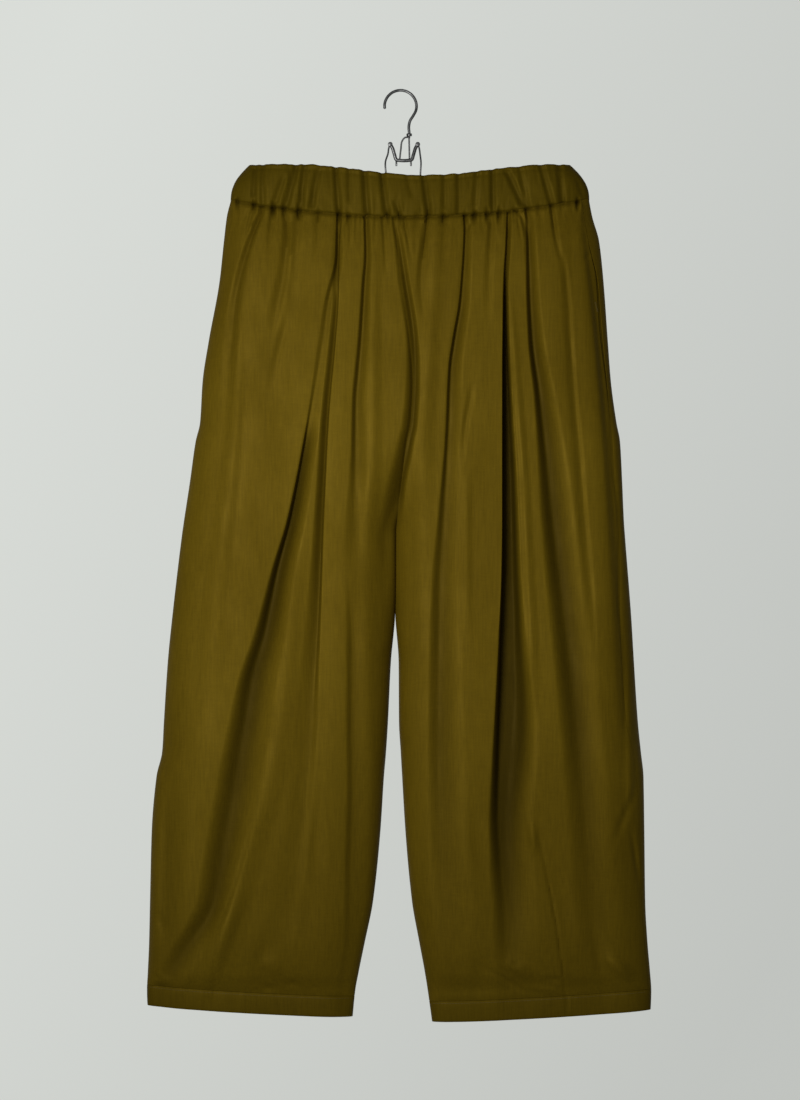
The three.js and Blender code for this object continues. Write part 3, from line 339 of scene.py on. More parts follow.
# The sewn line of each front dart
DARTS = {
    "left": {
        "x": {840: -169, 900: -186, 987: -212, 1058: -213},
        "deep": {840: 0, 862: 1.2, 960: 1.6, 1058: 1},
    },
    "right": {
        "x": {855: 158, 887: 166, 950: 178, 998: 185, 1062: 193},
        "deep": {855: 0, 875: 1.2, 960: 1.6, 1062: 1},
    },
}
DART_WALL = 2.4

# Where the waist seam is pinched
SEAM_PINCHES = [
    -187, -167, -145, -133, -116, -93, -70, -59, -36, -14, 0, 20, 32, 50, 74, 86, 100, 114, 131, 145,
    159, 173, 187, 204,
]

# Creases of the waistband: x and share of its height at the top, the same at the low end, depth,
# and the widths of the left and right walls
CREASE = {"beyond": 0.12, "fade": 0.2, "deep": 0.72, "wide": 1.3}
BAND_CREASES = {
    "front": [
        (-166, 0, -168, 0.8, 3.2, 4, 4), (-158, 0, -157, 1, 2.6, 4, 4), (-133, 0.3, -145, 1, 2.4, 5, 4),
        (-118, 0, -131, 1, 4.2, 6, 4), (-109, 0, -115, 1, 3.6, 4, 5), (-94, 0.1, -102, 0.9, 3, 4, 5),
        (-74, 0, -70, 1, 4.4, 4, 5), (-58, 0, -57, 0.7, 2.2, 4, 4), (-41, 0, -37, 1, 4.4, 5, 4),
        (-21, 0, -15, 1, 4.2, 4, 5), (-7, 0.6, 1, 1, 2.8, 4, 4), (8, 0, 14, 0.5, 1.8, 4, 4),
        (27, 0, 33, 1, 4.4, 4, 5), (51, 0, 51, 0.8, 2.8, 4, 4), (68, 0, 67, 1, 3, 4, 5),
        (88, 0, 86, 0.8, 2.4, 4, 4), (106, 0, 107, 1, 4, 4, 4), (123, 0.1, 141, 0.9, 4.2, 5, 5),
        (137, 0, 147, 1, 3, 5, 4), (161, 0, 174, 1, 3.6, 4, 5), (183, 0, 186, 1, 3.6, 5, 4),
        (204, 0.4, 212, 1, 2.2, 4, 4),
    ],
    "back": [
        (-160, 0, -164, 1, 3.2, 5, 4), (-142, 0, -140, 1, 2.8, 4, 4), (-120, 0, -113, 1, 4.2, 4, 5),
        (-98, 0, -94, 0.9, 2.6, 4, 4), (-68, 0, -64, 1, 4.2, 5, 4), (-48, 0, -50, 1, 3.2, 4, 4),
        (-30, 0, -36, 1, 3.4, 4, 4), (-6, 0, -8, 1, 3, 4, 5), (12, 0, 10, 0.8, 2.6, 4, 4),
        (34, 0, 30, 1, 4.2, 4, 5), (56, 0, 60, 1, 3.4, 5, 4), (82, 0, 80, 0.9, 2.6, 4, 4),
        (104, 0, 108, 1, 4.2, 4, 5), (128, 0, 126, 1, 2.8, 4, 4), (146, 0, 150, 1, 3.4, 4, 4),
        (170, 0, 174, 1, 3.2, 4, 5), (190, 0, 193, 1, 2.6, 4, 4),
    ],
}

# Fine gathers between the main ones, drawn at random
PANEL_GATHERS = {
    "count": 26, "left": (-196, -12), "right": (-2, 214), "lean": 0.18, "fan": 0.0011,
    "length": (14, 60), "deep": (0.5, 1.5), "wide": (2.6, 4.4), "widens_to": 80, "widens_over": 60,
}
BAND_GATHERS = {
    "count": 46, "across": (-186, 208), "lean": 7, "deep": (0.3, 0.9), "wide": (2.4, 5),
    "length": (0.3, 0.8), "from_top": 0.6, "fade": 0.3,
}

# The depth at which the painted shade in a fold is at its darkest, and how much of the colour that painted
# shade leaves there
DARKEST_PAINTED_FOLD = 14
PAINTED_FOLD_COLOUR_LEFT = 0.4
CLOTH_SHARP = 48

# How finely each piece is divided
FRONT_SPACING = 1.35
BACK_SPACING = 3.6
BAND_SPACING = 1.5
LEAST_COLUMN = 0.3
EDGE_OFFSETS = (0.1, 0.4, 1, 2, 3.5, 5.6, 8.5, 12.5, 18)
SAMPLE_DROPS = (160, 287, 400, 494, 600, 724, 850, 950, 1030)
THIGH_DROP = 400

# A guiding fold's walls have columns along them too, where they are this steep
KNIFE = 3.5


def mix(a, b, t):
    return a + (b - a) * t


def smooth(t):
    u = np.clip(t, 0, 1)
    return u * u * (3 - 2 * u)


def bump(t):
    return np.where(np.abs(t) < 1, 0.5 + 0.5 * np.cos(np.pi * np.clip(t, -1, 1)), 0)


def curve_of(p, v, slope):
    """A smooth curve through values v at rising places p, with the given slope at each."""

    def curve(place):
        q = np.clip(place, p[0], p[-1])
        i = np.clip(np.searchsorted(p, q, side="left") - 1, 0, len(p) - 2)
        span = p[i + 1] - p[i]
        t = (q - p[i]) / span
        bend = t * (1 - t) * span
        return mix(v[i], v[i + 1], t * t * (3 - 2 * t)) + bend * ((1 - t) * slope[i] - t * slope[i + 1])

    return curve


def through(places, values):
    """A smooth curve through values at rising places, which never overshoots them."""
    p, v = np.array(places, float), np.array(values, float)
    rate = np.diff(v) / np.diff(p)
    slope = np.empty_like(v)
    slope[0], slope[-1] = rate[0], rate[-1]
    product = rate[:-1] * rate[1:]
    slope[1:-1] = np.where(product > 0, 2 * product / np.where(product > 0, rate[:-1] + rate[1:], 1), 0)
    return curve_of(p, v, slope)


def track(size):
    """A size down the garment, from a number or from {drop: size}."""
    if isinstance(size, dict):
        return through(list(size), list(size.values()))
    return lambda drop: np.full_like(np.asarray(drop, float), size)


section = {
    name: through([row[0] for row in SECTIONS], [row[i] for row in SECTIONS])
    for i, name in enumerate(SECTION_COLUMNS) if i
}
TRACKS = {
    place: [
        {"guide": one["guide"], **{key: track(one[key]) for key in ("x", "to", "deep", "left", "right")}}
        for one in folds
    ]
    for place, folds in FOLDS.items()
}
for (_, layer), folds in TRACKS.items():
    valley = {key: track(size) for key, size in CENTRE_VALLEY[layer].items()}
    middle = lambda drop, over=valley["over"]: section["inner_left"](drop) + over(drop)
    folds.append({"guide": False, **valley, "x": middle, "to": middle})


def outer_edge(side, drop):
    return section["outer_" + side](drop)


def inner_edge(side, drop):
    return section["inner_" + side](drop)


def seam_drop(x):
    """The waist seam: an arc, drawn up a little at each pinch and wavering between them."""
    arc = SEAM["drop"] - SEAM["rise"] * ((x - SEAM["middle"]) / SEAM["reach"]) ** 2
    pinched = sum(bump((x - spot) / SEAM["pinch"]) for spot in SEAM_PINCHES)
    return arc + SEAM["waver"] * noise(x, 0 * x, SEED + 3, 11, 30) - SEAM["drawn_up"] * pinched


def band_top(x, layer):
    sag = BAND["sag"] if layer == "front" else BAND["back_sag"]
    return BAND["top"] + sag * bump((x - BAND["sag_middle"]) / BAND["sag_reach"])


def fork_reach(drop):
    """How much further the centre counts as being from an edge, above the fork."""
    t = np.clip(1 - (FORK_DROP - drop) / FORK_RISE, 0, 1)
    share = 1 - t * t
    return section["round"](drop) * (1 - np.sqrt(1 - share * share))


def rounded(distance, reach):
    t = np.clip(distance / reach, 0, 1)
    return np.sqrt(1 - (1 - t) ** 2)


def noise(x, drop, seed, across, down):
    """Smooth random waves from -1 to 1, with the given lengths across and down."""
    rng = np.random.default_rng(seed)
    lattice = rng.uniform(-1, 1, (64, 64))
    u, v = x / across + 32.5, drop / down + 3.5
    i, j = np.floor(u).astype(int), np.floor(v).astype(int)
    s, t = smooth(u - i), smooth(v - j)
    pick = lambda a, b: lattice[a % 64, b % 64]
    top = mix(pick(i, j), pick(i + 1, j), s)
    low = mix(pick(i, j + 1), pick(i + 1, j + 1), s)
    return mix(top, low, t)


def fold_depth(folds, x, drop):
    total = np.zeros_like(x)
    for one in folds:
        low, high = one["x"](drop), one["to"](drop)
        left = smooth(1 - (low - x) / one["left"](drop))
        right = smooth(1 - (x - np.maximum(low, high)) / one["right"](drop))
        total += one["deep"](drop) * left * right
    return total


def stroke_depth(side, x, drop):
    total = np.zeros_like(x)
    for *both, deep, wide in STROKES[side]:
        start, end = np.array(both[:2], float), np.array(both[2:], float)
        length = np.hypot(*(end - start))
        way = (end - start) / length
        along = (x - start[0]) * way[0] + (drop - start[1]) * way[1]
        across = (drop - start[1]) * way[0] - (x - start[0]) * way[1]
        taper = bump((along / length - 0.5) / STROKE_TAPER)
        total += deep * taper * bump(across / wide)
    return total


def fine_gathers(side, layer, x, drop):
    """Small gathers that run down from the waist seam between the main ones."""
    rng = np.random.default_rng(SEED + len(side) * 3 + len(layer))
    total = np.zeros_like(x)
    fine = PANEL_GATHERS
    below = drop - seam_drop(x)
    for k in range(fine["count"]):
        place = mix(*fine[side], (k + rng.uniform(0.1, 0.9)) / fine["count"])
        lean = rng.uniform(-fine["lean"], fine["lean"]) + fine["fan"] * (place - SEAM["middle"])
        length, deep, wide = (rng.uniform(*fine[key]) for key in ("length", "deep", "wide"))
        widened = wide * (1 + np.clip(below, 0, fine["widens_to"]) / fine["widens_over"])
        total += deep * bump((x - place - lean * below) / widened) * smooth(1 - below / length)
    return total


def pull(spot):
    """How hard the elastic pulls at a pinch, which is uneven along the seam."""
    return PULL["mean"] + PULL["sway"] * math.sin(PULL["turn"] * spot)


def waist_pinch(x, drop):
    """The groove under the waistband, deeper where the seam is pinched."""
    below = drop - seam_drop(x)
    pinch = sum(pull(spot) * bump((x - spot) / GROOVE["pinch"]) for spot in SEAM_PINCHES)
    groove = GROOVE["deep"] * smooth(1 - below / GROOVE["down"])
    return groove + GROOVE["pinch_deep"] * pinch * smooth(1 - below / GROOVE["pinch_down"])


def stand_off(side, layer, x, drop, detail=True):
    """How far the cloth stands off the middle plane of the garment."""
    outer = np.abs(outer_edge(side, drop) - x)
    seam = np.abs(x - inner_edge(side, drop))
    inner = seam + fork_reach(drop)
    reach = section["round"](drop)
    fade = smooth(outer / FOLD_FADE) * smooth(inner / FOLD_FADE)
    pinch = mix(PINCH_LEFT, 1, smooth((drop - seam_drop(x)) / PINCH_DROP))
    form = section[layer](drop) * rounded(outer, reach) * rounded(inner, reach)
    depth = fold_depth(TRACKS[side, layer], x, drop) * pinch
    if detail:
        shift = 10 if layer == "back" else 0
        depth = depth + fine_gathers(side, layer, x, drop) * mix(0.5, 1, pinch)
        for k, (deep, across, down) in enumerate(WAVES):
            depth = depth + deep * noise(x, drop, SEED + shift + k, across, down)
        if layer == "front":
            depth = depth + stroke_depth(side, x, drop)
            dart = DARTS[side]
            off = (x - track(dart["x"])(drop)) / DART_WALL
            depth = depth + track(dart["deep"])(drop) * bump(off) * (drop > min(dart["x"]))
        depth = depth + waist_pinch(x, drop)
        above = smooth((FORK_DROP - CENTRE_SEAM["above"] - drop) / CENTRE_SEAM["fade"])
        depth = depth + CENTRE_SEAM["deep"] * smooth(1 - seam / CENTRE_SEAM["reach"]) * above
        from_hem = np.abs(drop - hem_drop(side, x))
        depth = depth + HEM_GROOVE["deep"] * smooth(1 - from_hem / HEM_GROOVE["reach"])
    return form - depth * fade


def hem_drop(side, x):
    inner, outer = inner_edge(side, HEM_DROP), outer_edge(side, HEM_DROP)
    across = np.clip((x - inner) / (outer - inner), 0, 1)
    return HEM_DROP + mix(*HEM_SLOPE[side], across**1.5)


def row_drop(side, x, nominal):
    """A row's real drop. It follows the waist seam, just inside the band, and the sloping hem."""
    near_waist = np.clip(1 - (nominal - WAIST_DROP) / WARP_REACH, 0, 1) ** 2
    near_hem = np.clip(1 - (HEM_DROP - nominal) / WARP_REACH, 0, 1) ** 2
    return (
        nominal
        + (seam_drop(x) - SEAM_TUCK - WAIST_DROP) * near_waist
        + (hem_drop(side, x) - HALF_GAP - HEM_DROP) * near_hem
    )


class Columns:
    """Columns of a grid that follow some lines down the cloth, with even ones between them."""

    def __init__(self, lines, off, spacing):
        self.lines = lines
        drops = np.array(SAMPLE_DROPS, float)
        knots = self.knots(drops)
        stands = np.array([off(row, drops) for row in knots])
        arc = np.hypot(np.diff(knots, axis=0), np.diff(stands, axis=0)).mean(axis=1)
        counts = np.maximum(1, np.round(arc / spacing)).astype(int)
        self.first = np.append(np.repeat(np.arange(len(counts)), counts), len(counts) - 1)
        self.share = np.append(np.concatenate([np.arange(n) / n for n in counts]), 1)

    def knots(self, drop):
        places = [np.asarray(line(drop), float) for line in self.lines]
        for i in range(1, len(places) - 1):
            places[i] = np.maximum(places[i], places[i - 1] + LEAST_COLUMN)
        for i in range(len(places) - 2, 0, -1):
            places[i] = np.minimum(places[i], places[i + 1] - LEAST_COLUMN)
        return np.array(places)

    def at(self, drop):
        knots = self.knots(drop)
        column = np.arange(len(self.first))
        before, after = knots[self.first, :, column].T, knots[self.first + 1, :, column].T
        return mix(before, after, self.share)


def panel_columns(side, layer, low, high, spacing):
    lines = [low] + [lambda d, o=o: low(d) + o for o in EDGE_OFFSETS]
    for one in TRACKS[side, layer]:
        if not one["guide"]:
            continue
        sharp_left, sharp_right = one["left"](WAIST_DROP) < KNIFE, one["right"](THIGH_DROP) < KNIFE
        if sharp_left:
            lines.append(lambda d, f=one: f["x"](d) - f["left"](d))
        lines.append(one["x"])
        if sharp_right:
            lines.append(lambda d, f=one: np.maximum(f["x"](d), f["to"](d)))
            lines.append(lambda d, f=one: np.maximum(f["x"](d), f["to"](d)) + f["right"](d))
    lines += [lambda d, o=o: high(d) - o for o in reversed(EDGE_OFFSETS)] + [high]
    return Columns(lines, lambda x, d: stand_off(side, layer, x, d, detail=False), spacing)


def places(side, columns, nominals):
    """x and real drop of every point of a grid."""
    nominal = np.repeat(np.asarray(nominals, float)[:, None], len(columns.first), axis=1)
    x = columns.at(nominal)
    x = columns.at(row_drop(side, x, nominal))
    return x, row_drop(side, x, nominal)


def overlap(side, x, drop):
    """Below the fork the left leg's inner edge lies just in front of the right one's."""
    near = smooth(1 - np.abs(x - inner_edge(side, drop)) / OVERLAP["reach"])
    begun = smooth((drop - FORK_DROP + OVERLAP["above"]) / OVERLAP["start"])
    return near * begun * smooth((OVERLAP["end"] - drop) / OVERLAP["fade"])


def points(side, layer, x, drop, gap=HALF_GAP):
    off = stand_off(side, layer, x, drop) + gap
    share = overlap(side, x, drop)
    out = 1 if side == "left" else -1
    y = (off if layer == "back" else -off) - out * OVERLAP["apart"] * share
    return np.stack([x + out * OVERLAP["across"] * share, y, -drop], axis=-1)


def grid_normals(grid, closed=False):
    across = np.roll(grid, -1, 1) - np.roll(grid, 1, 1) if closed else np.gradient(grid, axis=1)
    normal = np.cross(np.gradient(grid, axis=0), across)
    return unit(normal)


def unit(vectors):
    return vectors / np.maximum(np.linalg.norm(vectors, axis=-1, keepdims=True), 1e-9)


def circle(centre, radius, side, up, count):
    angles = np.linspace(0, 2 * np.pi, count, endpoint=False)
    return centre + radius * (np.cos(angles)[:, None] * side + np.sin(angles)[:, None] * up)


def crowded(count, share):
    """Shares from 0 to 1, partly drawn together towards both ends."""
    even = np.linspace(0, 1, count)
    return mix(even, (1 - np.cos(np.pi * even)) / 2, share)


def linked(name, data):
    made = bpy.data.objects.new(name, data)
    bpy.context.scene.collection.objects.link(made)
    return made


def new_object(name, vertices, faces, material, sharp=None, painted_shade=None):
    """A piece from points and faces. Edges over the sharp angle stay sharp, and the last argument
    is how deep in a fold each point lies, which the satin turns into painted shade."""
    mesh = bpy.data.meshes.new(name)
    mesh.from_pydata((np.asarray(vertices) * MM).tolist(), [], faces)
    mesh.shade_smooth()
    if sharp:
        mesh.set_sharp_from_angle(angle=math.radians(sharp))
    mesh.materials.append(material)
    if painted_shade is not None:
        mesh.attributes.new("painted_shade", "FLOAT", "POINT").data.foreach_set("value", painted_shade)
    made = linked(name, mesh)
    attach(made, "root")
    return made


def wall_faces(outer, inner, closed):
    """Faces of a closed body between an outer grid of points and an inner one."""
    rows, columns = outer.shape[:2]
    ids = np.arange(rows * columns).reshape(rows, columns)
    if closed:
        ids = np.hstack([ids, ids[:, :1]])
    under = ids + rows * columns
    quads = lambda *corners: np.stack([c.ravel() for c in corners], axis=1)
    faces = [
        quads(ids[:-1, :-1], ids[:-1, 1:], ids[1:, 1:], ids[1:, :-1]),
        quads(under[:-1, :-1], under[1:, :-1], under[1:, 1:], under[:-1, 1:]),
        quads(ids[0, 1:], ids[0, :-1], under[0, :-1], under[0, 1:]),
        quads(ids[-1, :-1], ids[-1, 1:], under[-1, 1:], under[-1, :-1]),
    ]
    if not closed:
        faces.append(quads(ids[:-1, 0], ids[1:, 0], under[1:, 0], under[:-1, 0]))
        faces.append(quads(ids[1:, -1], ids[:-1, -1], under[:-1, -1], under[1:, -1]))
    return np.concatenate(faces)


def shell(name, outer, inner, closed, material, painted_shade=None):
    vertices = np.concatenate([outer.reshape(-1, 3), inner.reshape(-1, 3)])
    faces = wall_faces(outer, inner, closed)
    a, b, c, d = (vertices[faces[:, k]] for k in range(4))
    volume = np.einsum("ij,ij->", a, np.cross(b, c)) + np.einsum("ij,ij->", a, np.cross(c, d))
    if volume < 0:
        faces = faces[:, ::-1]
    both = None if painted_shade is None else np.concatenate([painted_shade.ravel(), painted_shade.ravel()])
    return new_object(name, vertices, faces.tolist(), material, CLOTH_SHARP, both)


def panel(name, grid, normals, material, sink=0, painted_shade=None):
    normals[[0, -1], :, 2] = 0
    normals = unit(normals)
    outer, inner = grid - sink * normals, grid - (sink + CLOTH_WALL) * normals
    return shell(name, outer, inner, False, material, painted_shade)


def painted_fold_shade(side, layer, x, drop):
    """How deep in a fold the cloth lies, from 0 to 1, as painted shade: the satin's colour is darkened there,
    in the folds and in the pinched groove under the waistband.
    """
    deep = fold_depth(TRACKS[side, layer], x, drop) + GROOVE["shade"] * waist_pinch(x, drop)
    return smooth(deep / DARKEST_PAINTED_FOLD)


def centre_line(side):
    inward = -CENTRE_GAP if side == "left" else CENTRE_GAP
    return lambda drop: inner_edge(side, drop) + np.where(drop < FORK_DROP, inward, 0)


def side_seam(drop):
    return section["outer_right"](drop) - section["inset"](drop)


def slit(drop):
    half = (POCKET_END - WAIST_DROP) / 2
    return POCKET_SLIT * bump((drop - WAIST_DROP - half) / half)


def right_front_edge(drop):
    return side_seam(drop) - HALF_GAP - slit(drop)


def left_back_edge(drop):
    """The back's edge at the left outline, drawn back along the pocket's slit."""
    share = np.clip((slit(drop) + HALF_GAP) / section["back"](drop), 0, 1)
    cut = np.where(slit(drop) > 0, section["round"](drop) * (1 - np.sqrt(1 - share**2)), 0)
    return section["outer_left"](drop) + cut


PANEL_ROWS = np.concatenate([
    np.arange(143, 203, 2), np.arange(203, 403, 4), np.arange(403, 994, 7.2), np.arange(994, 1034.5, 2.5),
])
BACK_ROWS = np.concatenate([np.arange(143, 203, 2.4), np.arange(203, 994, 5), np.arange(994, 1034.5, 2.5)])


def edge_normals(normals, drop, column, sideways):
    """At a seam edge above the fork the cut is square to the cloth; elsewhere it faces sideways."""
    below = drop[:, column] >= FORK_DROP
    normals[below, column] = (sideways, 0, 0)
    normals[~below, column, 0] = 0


def left_panel(layer, material):
    front = layer == "front"
    low = section["outer_left"] if front else left_back_edge
    columns = panel_columns("left", layer, low, centre_line("left"), FRONT_SPACING if front else BACK_SPACING)
    x, drop = places("left", columns, PANEL_ROWS if front else BACK_ROWS)
    grid = points("left", layer, x, drop)
    normals = grid_normals(grid) * (1 if front else -1)
    open_slit = (slit(drop[:, 0]) > 0) & (not front)
    normals[~open_slit, 0] = (-1, 0, 0)
    edge_normals(normals, drop, -1, 1)
    return panel(layer + "_left_cloth", grid, normals, material, painted_shade=painted_fold_shade("left", layer, x, drop))


def right_front(material):
    columns = panel_columns("right", "front", centre_line("right"), right_front_edge, FRONT_SPACING)
    x, drop = places("right", columns, PANEL_ROWS)
    grid = points("right", "front", x, drop)
    normals = grid_normals(grid)
    edge_normals(normals, drop, 0, -1)
    return panel("front_right_cloth", grid, normals, material, painted_shade=painted_fold_shade("right", "front", x, drop))


def turned(nominals, shares):
    """Points of the right back where it turns round the outline to the side seam."""
    nominal = np.repeat(np.asarray(nominals, float)[:, None], len(shares), axis=1)
    across = lambda d: section["outer_right"](d) - (section["inset"](d) - HALF_GAP) * shares
    x = across(row_drop("right", across(nominal), nominal))
    drop = row_drop("right", x, nominal)
    return points("right", "front", x, drop)


def right_back(material):
    columns = panel_columns("right", "back", centre_line("right"), section["outer_right"], BACK_SPACING)
    x, drop = places("right", columns, BACK_ROWS)
    behind = points("right", "back", x, drop)
    behind[:, -1, 1] = 0
    grid = np.concatenate([behind, turned(BACK_ROWS, (np.arange(1, 13) / 12) ** 2)], axis=1)
    normals = -grid_normals(grid)
    edge_normals(normals, drop, 0, -1)
    painted_shade = painted_fold_shade("right", "back", x, drop)
    painted_shade = np.concatenate([painted_shade, np.zeros((len(painted_shade), grid.shape[1] - painted_shade.shape[1]))], axis=1)
    return panel("back_right_cloth", grid, normals, material, painted_shade=painted_shade)


FACED_ROWS = np.arange(152, POCKET_END - 4, 4)
FACING_SINK = CLOTH_WALL + 0.5
FACING_REACH = (0, *EDGE_OFFSETS[:-1])


def facing_strip(side, layer, edge, reach):
    nominal = np.repeat(FACED_ROWS[:, None].astype(float), len(reach), axis=1)
    x = edge(nominal) + np.array(reach)
    x = edge(row_drop(side, x, nominal)) + np.array(reach)
    drop = row_drop(side, x, nominal)
    return points(side, layer, x, drop)


def left_facing(material):
    before = facing_strip("left", "front", section["outer_left"], FACING_REACH[:0:-1])
    fold_line = facing_strip("left", "front", section["outer_left"], (0,))
    fold_line[..., 1] = 0
    behind = facing_strip("left", "back", section["outer_left"], FACING_REACH[1:7])
    grid = np.concatenate([before, fold_line, behind], axis=1)
    normals = -grid_normals(grid)
    return panel("pocket_facing_left_cloth", grid, normals, material, FACING_SINK)


def right_facing(material):
    before = facing_strip("right", "front", right_front_edge, [-r for r in FACING_REACH[::-1]])
    under = turned(FACED_ROWS, np.array([1, 0.85, 0.7, 0.55]))
    grid = np.concatenate([before, under], axis=1)
    return panel("pocket_facing_right_cloth", grid, grid_normals(grid), material, FACING_SINK)


def ring(name, rows, wall, material, painted_shade=None):
    normals = grid_normals(rows, closed=True)
    normals[..., 2] = 0
    return shell(name, rows, rows - wall * unit(normals), True, material, painted_shade)


# A hem's section by the share of its height: its puff and the rolls at its edges
HEM_FORM = {
    "puff": 0.4, "puff_at": 0.55, "puff_reach": 0.6, "top_roll": 0.9, "top": 0.12,
    "low_roll": 0.7, "low": 0.93, "low_reach": 0.07, "pucker": 0.14, "pucker_reach": 0.4,
    "wave": 0.3, "end": 6, "cloth_below": 5,
}
HEM_COLUMNS = 112
HEM_ROWS = np.array([0, 0.03, 0.08, 0.16, 0.3, 0.45, 0.6, 0.75, 0.88, 0.95, 0.985, 1])


def hem_points(side, layer, share, x_share, lift=0.0):
    """Points of a hem, by the share of its height and the share across the leg."""
    below = HALF_GAP + (HEM_HEIGHT - HALF_GAP) * share
    edges = lambda d: np.sort(np.stack([inner_edge(side, d), outer_edge(side, d)]), axis=0)
    across = lambda d: mix(*edges(d), x_share)
    x = across(hem_drop(side, across(HEM_DROP + below)) + below)
    drop = hem_drop(side, x) + below
    form = HEM_FORM
    puff = (
        form["puff"] * bump((share - form["puff_at"]) / form["puff_reach"])
        - form["top_roll"] * smooth(1 - share / form["top"])
        - form["low_roll"] * smooth((share - form["low"]) / form["low_reach"])
    )
    by_stitches = smooth(1 - np.abs(share - form["top"]) / form["pucker_reach"])
    pucker = form["pucker"] * noise(x, drop, SEED + 5, 6, 30) * by_stitches
    wave = form["wave"] * noise(x, drop, SEED + 6, 40, 80)
    outer = np.minimum(np.abs(x - outer_edge(side, drop)), np.abs(x - inner_edge(side, drop)))
    cloth = np.maximum(drop, hem_drop(side, x) + form["cloth_below"])
    off = stand_off(side, layer, x, cloth) + HALF_GAP + lift
    off = off + (puff + pucker + wave) * smooth(outer / form["end"])
    off = np.where(outer < 1e-6, 0, off)
    return np.stack([x, off if layer == "back" else -off, -drop], axis=-1)


def hem(side, material):
    share, across = np.meshgrid(HEM_ROWS, crowded(HEM_COLUMNS, 0.45), indexing="ij")
    front = hem_points(side, "front", share, across)
    back = hem_points(side, "back", share, across)[:, -2:0:-1]
    return ring(f"hem_{side}_cloth", np.concatenate([front, back], axis=1), HEM_WALL, material)


THREAD = {"sides": 6, "along": (0, 0.12, 0.5, 0.88, 1), "girth": (0.35, 0.9, 1, 0.9, 0.35)}
STITCH = {"pitch": 3.2, "length": 2.3, "radius": 0.24, "lift": 0.12, "from_end": 4, "share": 0.1}


def capsule_set(name, starts, ends, radius, material):
    """Many short threads in one mesh, each a tube with drawn-in ends."""
    sides, steps = THREAD["sides"], len(THREAD["along"]) - 1
    vertices, faces = [], []
    for start, end in zip(starts, ends):
        way = unit(end - start)
        side = unit(np.cross(way, (0.3, 1, 0.2)))
        up = np.cross(way, side)
        base = len(vertices)
        for s, girth in zip(THREAD["along"], THREAD["girth"]):
            vertices += list(circle(mix(start, end, s), girth * radius, side, up, sides))
        for low in range(base, base + steps * sides, sides):
            for a in range(sides):
                b = (a + 1) % sides
                faces.append((low + a, low + b, low + sides + b, low + sides + a))
        first, top = len(vertices), base + steps * sides
        vertices += [start, end]
        for a in range(sides):
            b = (a + 1) % sides
            faces.append((first, base + b, base + a))
            faces.append((first + 1, top + a, top + b))
    return new_object(name, vertices, faces, material)


def hem_stitches(side, material):
    starts, ends = [], []
    width = abs(outer_edge(side, HEM_DROP) - inner_edge(side, HEM_DROP))
    count = int((width - 2 * STITCH["from_end"]) / STITCH["pitch"])
    first = (STITCH["from_end"] + STITCH["pitch"] * np.arange(count)) / width
    share = np.full(count, STITCH["share"])
    for layer in ("front", "back"):
        line = lambda shift: hem_points(side, layer, share, first + shift / width, STITCH["lift"])
        starts.append(line(0))
        ends.append(line(STITCH["length"]))
    starts, ends = np.concatenate(starts), np.concatenate(ends)
    return capsule_set(f"hem_{side}_stitches", starts, ends, STITCH["radius"], material)


# The bartack at the right pocket: two ends as (x, drop), and the threads across it
BARTACK = {"ends": ((224, 243), (226.5, 253.6)), "threads": 11, "half": 0.9, "radius": 0.3, "lift": 0.15}


def bartack(material):
    share = np.linspace(0, 1, BARTACK["threads"])
    (x_top, top), (x_low, low) = BARTACK["ends"]
    x, drop = mix(x_top, x_low, share), mix(top, low, share)
    side = BARTACK["half"]
    ends = [points("right", "front", x + way * side, drop - way * 0.3, BARTACK["lift"]) for way in (-1, 1)]
    return capsule_set("pocket_bartack", *ends, BARTACK["radius"], material)


def band_taper(share):
    return (1 - share) ** BAND_CORNER["power"]


def band_low(share):
    return section["outer_left"](BAND_DEPTH_DROP) + BAND_CORNER["left"] * band_taper(share)


def band_high(share):
    return section["outer_right"](BAND_DEPTH_DROP) - BAND_CORNER["right"] * band_taper(share)


def band_gathers(layer, x, share):
    total = np.zeros_like(x)
    for top_x, top, low_x, low, deep, left, right in BAND_CREASES[layer]:
        t = (share - top) / (low - top)
        off = x - mix(top_x, low_x, t)
        begun = 1 if top == 0 else smooth((t + CREASE["beyond"]) / CREASE["fade"])
        ended = 1 if low == 1 else smooth((1 + CREASE["beyond"] - t) / CREASE["fade"])
        wall = bump(off / (np.where(off < 0, left, right) * CREASE["wide"]))
        total += CREASE["deep"] * deep * begun * ended * wall
    rng = np.random.default_rng(SEED + len(layer))
    fine = BAND_GATHERS
    for k in range(fine["count"]):
        place = mix(*fine["across"], (k + rng.uniform(0.05, 0.95)) / fine["count"])
        lean = rng.uniform(-fine["lean"], fine["lean"])
        deep, wide, length = (rng.uniform(*fine[key]) for key in ("deep", "wide", "length"))
        run = share if rng.random() < fine["from_top"] else 1 - share
        wall = bump((x - place - lean * share) / wide)
        total += deep * wall * smooth((length - run) / fine["fade"])
    return total


# The band's section by the share of its height: how it swells, the rolls at its edges, the
# stitch line near its top, and the seam's pinches, which reach up into it
BAND_FORM = {
    "swell": 1.6, "swell_at": 0.46, "swell_reach": 0.55, "top_roll": 1.5, "top": 0.055,
    "low_roll": 2.6, "low": 0.93, "low_reach": 0.07, "stitch": 0.9, "stitch_at": 0.1,
    "stitch_reach": 0.05, "pinch": 3, "pinch_wide": 3.6, "pinch_up": 0.2, "end": 5,
}
# Its soft waves, each as depth and lengths across and down, and how much its top edge wavers
BAND_WAVES = [(0.2, 12, 20), (0.7, 30, 40)]
BAND_EDGE = {"waver": 0.7, "gathered": 0.225, "down": 0.4, "end": 12}
# What the gathers, the pinches and the low roll add to its painted shade, and the sum at which that painted
# shade is darkest
BAND_PAINTED_SHADE = {"gathers": 0.8, "pinches": 2.4, "roll": 1.6, "full": 7}


